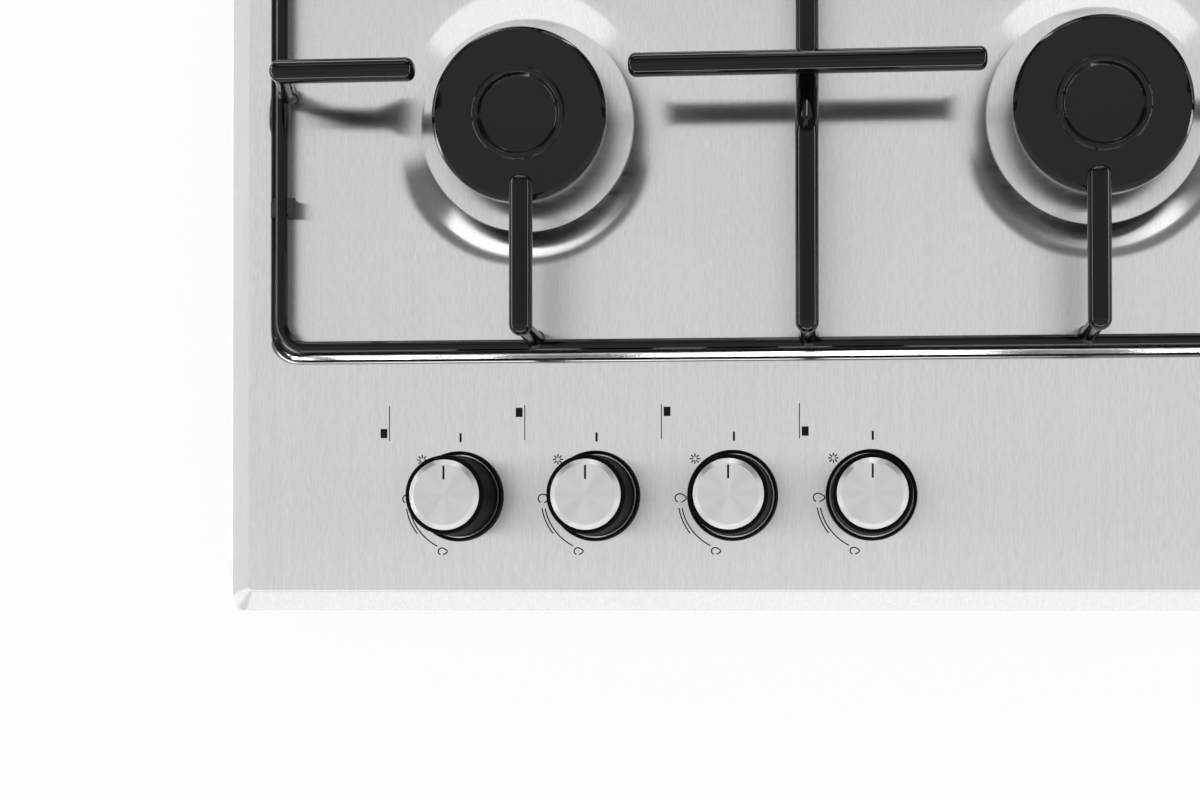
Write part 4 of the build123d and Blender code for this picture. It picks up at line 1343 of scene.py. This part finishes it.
def printed(name: str, outlines: Sequence[Array], height: float, thick: float = 0.03) -> bpy.types.Object:
    """Closed flat shapes a hair thick that lie on a level surface.

    Args:
        name: The piece's name.
        outlines: Closed outlines, in mm.
        height: The surface's height, in mm.
        thick: The ink's thickness, in mm.

    Returns:
        One object with every shape.
    """
    parts = []
    for outline in outlines:
        parts += [flat_region(outline, [], level) for level in (height, height + thick)]
        parts.append(stacked([at_height(outline, height), at_height(outline, height + thick)]))
    return mesh_object(name, parts)


class Place(Enum):
    """Which burner a knob's position sign shows: the square's side of the line, and its end."""

    FRONT_LEFT = (-1, -1)
    REAR_LEFT = (-1, 1)
    REAR_RIGHT = (1, 1)
    FRONT_RIGHT = (1, -1)


@dataclass
class PanelSigns:
    """The printed signs round one knob: index mark, position, spark, flames and arcs. Sizes in mm."""

    knob: Knob
    place: Place
    index: tuple[float, float] = (0.7, 29.0)
    index_size: tuple[float, float] = (1.1, 4.5)
    line: tuple[float, float, float] = (-35.0, 27.7, 45.0)
    line_width: float = 0.45
    square: tuple[float, float] = (3.4, 4.6)
    square_gap: float = 1.1
    square_inset: float = 1.3
    spark: tuple[float, float] = (-18.5, 18.1)
    spark_rays: tuple[float, float] = (0.9, 2.6)
    large_flame: tuple[float, float, float] = (-26.0, -1.2, 4.6)
    small_flame: tuple[float, float, float] = (-8.6, -27.2, 3.7)
    flame_turn: tuple[float, float] = (-0.40, 1.36)
    flame_point: float = 0.42
    flame_height: float = 0.92
    pen: float = 0.6
    fine_pen: float = 0.62
    arcs: Sequence[tuple[float, ...]] = ((27.1, 27.9, 193.0, 221.5), (25.6, 26.9, 194.0, 246.0))

    def build(self, finishes: Finishes) -> bpy.types.Object:
        """Make the signs as one thin piece.

        Args:
            finishes: The hob's finishes.

        Returns:
            The finished piece.
        """
        outlines = [*self._bars(), *self._rays(), *self._arcs()]
        for x, y, size in (self.large_flame, self.small_flame):
            outlines.append(self._flame(size) + np.array([x, y]))
        centre = np.array(self.knob.centre)
        shapes = [outline + centre for outline in outlines]
        piece = printed(f"panel_signs_{self.knob.number}", shapes, self.knob.panel_top)
        return finishes.dress(piece, Slot.KNOB, "hob", finishes.ink)

    def _bars(self) -> list[Array]:
        """The index mark, the position line and its square.

        Returns:
            Their outlines.
        """
        x, y = self.index
        width, length = self.index_size
        index = stroke([(x, y - length / 2), (x, y + length / 2)], width)
        at, low, high = self.line
        line = stroke([(at, low), (at, high)], self.line_width)
        side, end = self.place.value
        wide, tall = self.square
        middle = at + side * (self.square_gap + wide / 2)
        start = low + self.square_inset if end < 0 else high - self.square_inset - tall
        square = stroke([(middle, start), (middle, start + tall)], wide)
        return [index, line, square]

    def _rays(self) -> list[Array]:
        """The spark: eight short rays round a point.

        Returns:
            The rays' outlines.
        """
        x, y = self.spark
        near, far = self.spark_rays
        rays = []
        for step in range(8):
            way = np.array([math.cos(step * math.pi / 4), math.sin(step * math.pi / 4)])
            rays.append(stroke([way * near + (x, y), way * far + (x, y)], self.fine_pen))
        return rays

    def _arcs(self) -> list[Array]:
        """The two arcs between the flames, whose radius changes evenly over the turn.

        Returns:
            Their outlines.
        """
        arcs = []
        for first, last, start, end in self.arcs:
            turn = np.radians(np.linspace(start, end, 24))
            radius = np.linspace(first, last, 24)
            route = np.column_stack([radius * np.cos(turn), radius * np.sin(turn)])
            arcs.append(stroke(route, self.pen))
        return arcs

    def _flame(self, size: float) -> Array:
        """A drop that is open at its foot: a circle whose radius swells by cos a to the 8th on its right.

        Args:
            size: The circle's diameter, in mm.

        Returns:
            The closed outline of its line.
        """
        turn = np.linspace(*self.flame_turn, 48) * np.pi
        radius = size / 2 * (1 + self.flame_point * np.maximum(np.cos(turn), 0.0) ** 8)
        x = radius * np.cos(turn)
        y = self.flame_height * radius * np.sin(turn)
        return stroke(np.column_stack([x, y]), self.pen)


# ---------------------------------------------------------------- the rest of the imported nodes
@dataclass(frozen=True)
class Refined:
    """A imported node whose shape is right: a welded, smooth-shaded copy with its finish."""

    node: str
    slot: Slot
    sharp: float = 30.0

    def build(self, finishes: Finishes) -> bpy.types.Object:
        """Copy, weld and dress the node.

        Args:
            finishes: The hob's finishes.

        Returns:
            The finished piece.
        """
        source = frame["nodes"][self.node]
        mesh = source.data.copy()
        mesh.name = f"{self.node}_smooth"
        weld(mesh)
        piece = shaded_object(f"{self.node}_smooth", mesh, self.sharp)
        finishes.dress(piece, self.slot, source["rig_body"])
        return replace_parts(piece, self.node)


REST = {
    "sealing_strip": Slot.SEAL,
    "base_tray": Slot.TRAY,
    "worktop_clamps": Slot.TRAY,
    "clamp_screws": Slot.SCREW,
    "gas_manifold": Slot.RAIL,
    "gas_inlet": Slot.BRASS,
    "tap_covers": Slot.CAST,
    "ignition_switches": Slot.PLASTIC,
    "injectors": Slot.BRASS,
    "spark_electrodes": Slot.CERAMIC,
    "electrode_tips": Slot.PIN,
    "ignition_unit": Slot.PLASTIC,
    "ignition_leads": Slot.LEAD,
    "cord_gland": Slot.PLASTIC,
    "rubber_pads": Slot.PAD,
}
NUMBERED = {"tap_body": Slot.CAST, "tap_plug": Slot.BRASS, "spindle": Slot.PIN}
BY_BURNER = {"supply_pipe": Slot.PIPE, "burner_cup": Slot.CAST, "flame_spreader": Slot.CAST}


# ---------------------------------------------------------------- the stage
@dataclass(frozen=True)
class Softbox:
    """A rectangular lamp aimed at a point. Places and sizes in metres."""

    name: str
    centre: Point
    aim: Point
    size: tuple[float, float]
    power: float

    def build(self) -> None:
        """Make the lamp."""
        lamp = bpy.data.lights.new(self.name, "AREA")
        lamp.shape = "RECTANGLE"
        lamp.size, lamp.size_y = self.size
        lamp.energy = self.power
        made = bpy.data.objects.new(self.name, lamp)
        made.location = self.centre
        away = Vector(self.centre) - Vector(self.aim)
        made.rotation_euler = away.to_track_quat("Z", "Y").to_euler()
        made.visible_camera = False
        bpy.context.scene.collection.objects.link(made)


@dataclass
class Studio:
    """The floor, the light and the camera. A glow step is its start, its end and its change of brightness."""

    floor_half: float = 6.0
    floor_drop: float = 0.0005
    floor_white: float = 0.93
    floor_colour: Colour = (0.80, 0.80, 0.80)
    low_front_glow: float = 0.82
    glow_steps: Sequence[Point] = (
        (-0.93, -0.88, 0.30),
        (-0.66, -0.58, -0.30),
        (-0.48, -0.40, 0.26),
        (-0.10, -0.055, -0.32),
        (0.38, 0.48, -0.58),
        (0.74, 0.84, 0.50),
    )
    lens: float = 42.0
    sensor: float = 36.0
    shift: tuple[float, float] = (-0.139, 0.1027)
    camera_place: Point = (0.0148, -0.2181, 0.7344)
    camera_turn: Point = (0.58, 2.98, -0.15)
    boxes: Sequence[Softbox] = (
        Softbox("back box", (-0.33, 1.36, 1.36), (-0.12, 0.0, 0.05), (1.3, 0.5), 2.6),
        Softbox("low back box", (0.0, 1.85, 0.80), (0.0, 0.0, 0.05), (0.3, 0.24), 1.5),
        Softbox("back strip", (-0.2, 2.0, 0.33), (-0.2, 0.0, 0.08), (2.6, 0.18), 16.0),
        Softbox("front strip", (0.0, -2.0, 0.30), (0.0, 0.0, 0.08), (3.0, 0.16), 16.0),
        Softbox("left strip", (-2.2, 0.1, 0.28), (0.0, 0.1, 0.08), (2.4, 0.14), 13.0),
        Softbox("right strip", (2.2, 0.1, 0.28), (0.0, 0.1, 0.08), (2.4, 0.14), 13.0),
    )

    def build(self) -> None:
        """Make the floor, the world, the lamps and the camera."""
        self._floor()
        self._world()
        for box in self.boxes:
            box.build()
        self._camera()

    def _floor(self) -> None:
        """A wide pale floor, nearly white to the camera and to mirrors, with the object's shadow kept."""
        corners = np.array([(-1, -1), (1, -1), (1, 1), (-1, 1)]) * self.floor_half
        mesh = bpy.data.meshes.new("floor")
        mesh.from_pydata(at_height(corners, -self.floor_drop).tolist(), [], [(0, 1, 2, 3)])
        floor = bpy.data.objects.new("floor", mesh)
        bpy.context.scene.collection.objects.link(floor)
        shader = Shader("floor")
        paper = shader.node("ShaderNodeBsdfDiffuse", {}, {"Color": (*self.floor_colour, 1.0)})
        glow = shader.node("ShaderNodeEmission", {}, {"Color": (1.0, 1.0, 1.0, 1.0), "Strength": 1.0})
        camera = shader.node("ShaderNodeLightPath", {}, {}, "Is Camera Ray")
        glossy = shader.node("ShaderNodeLightPath", {}, {}, "Is Glossy Ray")
        seen = (camera + glossy).held() * self.floor_white
        shader.node_out(shader.node("ShaderNodeMixShader", {}, {0: seen, 1: paper, 2: glow}))
        mesh.materials.append(shader.material)

    def _world(self) -> None:
        """A pale studio in bands from front to back, dim behind the object; the camera sees it white."""
        shader = Shader("studio", True)
        way = shader.node("ShaderNodeTexCoord", {}, {}, "Generated")
        back = shader.node("ShaderNodeSeparateXYZ", {}, {0: way}, "Y")
        glow: Number = self.low_front_glow
        for low, high, change in self.glow_steps:
            glow = change * back.step(low, high) + glow
        camera = shader.node("ShaderNodeLightPath", {}, {}, "Is Camera Ray")
        strength = camera + (1.0 - camera) * glow
        white = {"Color": (1.0, 1.0, 1.0, 1.0), "Strength": strength}
        shader.node_out(shader.node("ShaderNodeBackground", {}, white))
        bpy.context.scene.world = shader.material

    def _camera(self) -> None:
        """The camera at the photograph's viewing angle: turned about X, then Y, then Z of its own."""
        data = bpy.data.cameras.new("camera")
        data.lens = self.lens
        data.sensor_width = self.sensor
        data.sensor_fit = "HORIZONTAL"
        data.shift_x, data.shift_y = self.shift
        camera = bpy.data.objects.new("camera", data)
        place = Matrix.Translation(self.camera_place)
        for turn, axis in zip(self.camera_turn, "XYZ"):
            place @= Matrix.Rotation(math.radians(turn), 4, axis)
        camera.matrix_world = place
        bpy.context.scene.collection.objects.link(camera)
        bpy.context.scene.camera = camera


# ---------------------------------------------------------------- the hob
# Radii of each size of burner, in mm
LARGE = dict(cap=43.0, ported=36.0, spigot=22.0, well_floor=53.0, well=76.0, dish=22.6, gap=51.0)
MEDIUM = dict(cap=35.0, ported=28.5, spigot=16.0, well_floor=44.0, well=64.0, dish=17.6, gap=46.0)
SMALL = dict(cap=26.5, ported=21.0, spigot=10.0, well_floor=35.0, well=54.0, dish=12.6, gap=38.0)
# The first knob's centre, the step to the next, and the numbers of the knobs and their taps
FIRST_KNOB = (-173.1, -197.5)
KNOB_PITCH = 67.8
NUMBERS = range(1, 5)


def main() -> None:
    """Build the hob piece by piece, then the stage."""
    logging.basicConfig(level=logging.INFO, format="%(name)s: %(message)s")
    bpy.context.scene.view_settings.view_transform = "Standard"
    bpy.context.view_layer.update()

    burners = [
        Burner("front_left", (-141.0, -11.5), (-134.5, 3.3), **LARGE),
        Burner("rear_left", (-141.0, 153.49), (-134.5, 145.49), **MEDIUM),
        Burner("rear_right", (141.0, 153.49), (134.5, 145.49), **SMALL),
        Burner("front_right", (141.0, -11.5), (134.5, 3.3), **LARGE),
    ]
    finishes = Finishes(burners)
    first_x, knob_y = FIRST_KNOB
    knobs = [Knob(number, (first_x + KNOB_PITCH * (number - 1), knob_y)) for number in NUMBERS]

    TopPlate(finishes).build(burners, knobs)
    for burner in burners:
        burner.build(finishes)
    PanSupport(finishes, burners).build()
    for knob, place in zip(knobs, Place):
        knob.build(finishes)
        PanelSigns(knob, place).build(finishes)
    rings = mesh_object("knob_foot_rings", [knob.foot_ring() for knob in knobs], sharp=45.0)
    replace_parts(finishes.dress(rings, Slot.KNOB, "hob"), "knob_bezels")

    nodes = dict(REST)
    nodes |= {f"{name}_{number}": slot for name, slot in NUMBERED.items() for number in NUMBERS}
    nodes |= {f"{name}_{burner.name}": slot for name, slot in BY_BURNER.items() for burner in burners}
    for node, slot in nodes.items():
        Refined(node, slot).build(finishes)

    Studio().build()


if __name__ == "__main__":
    main()
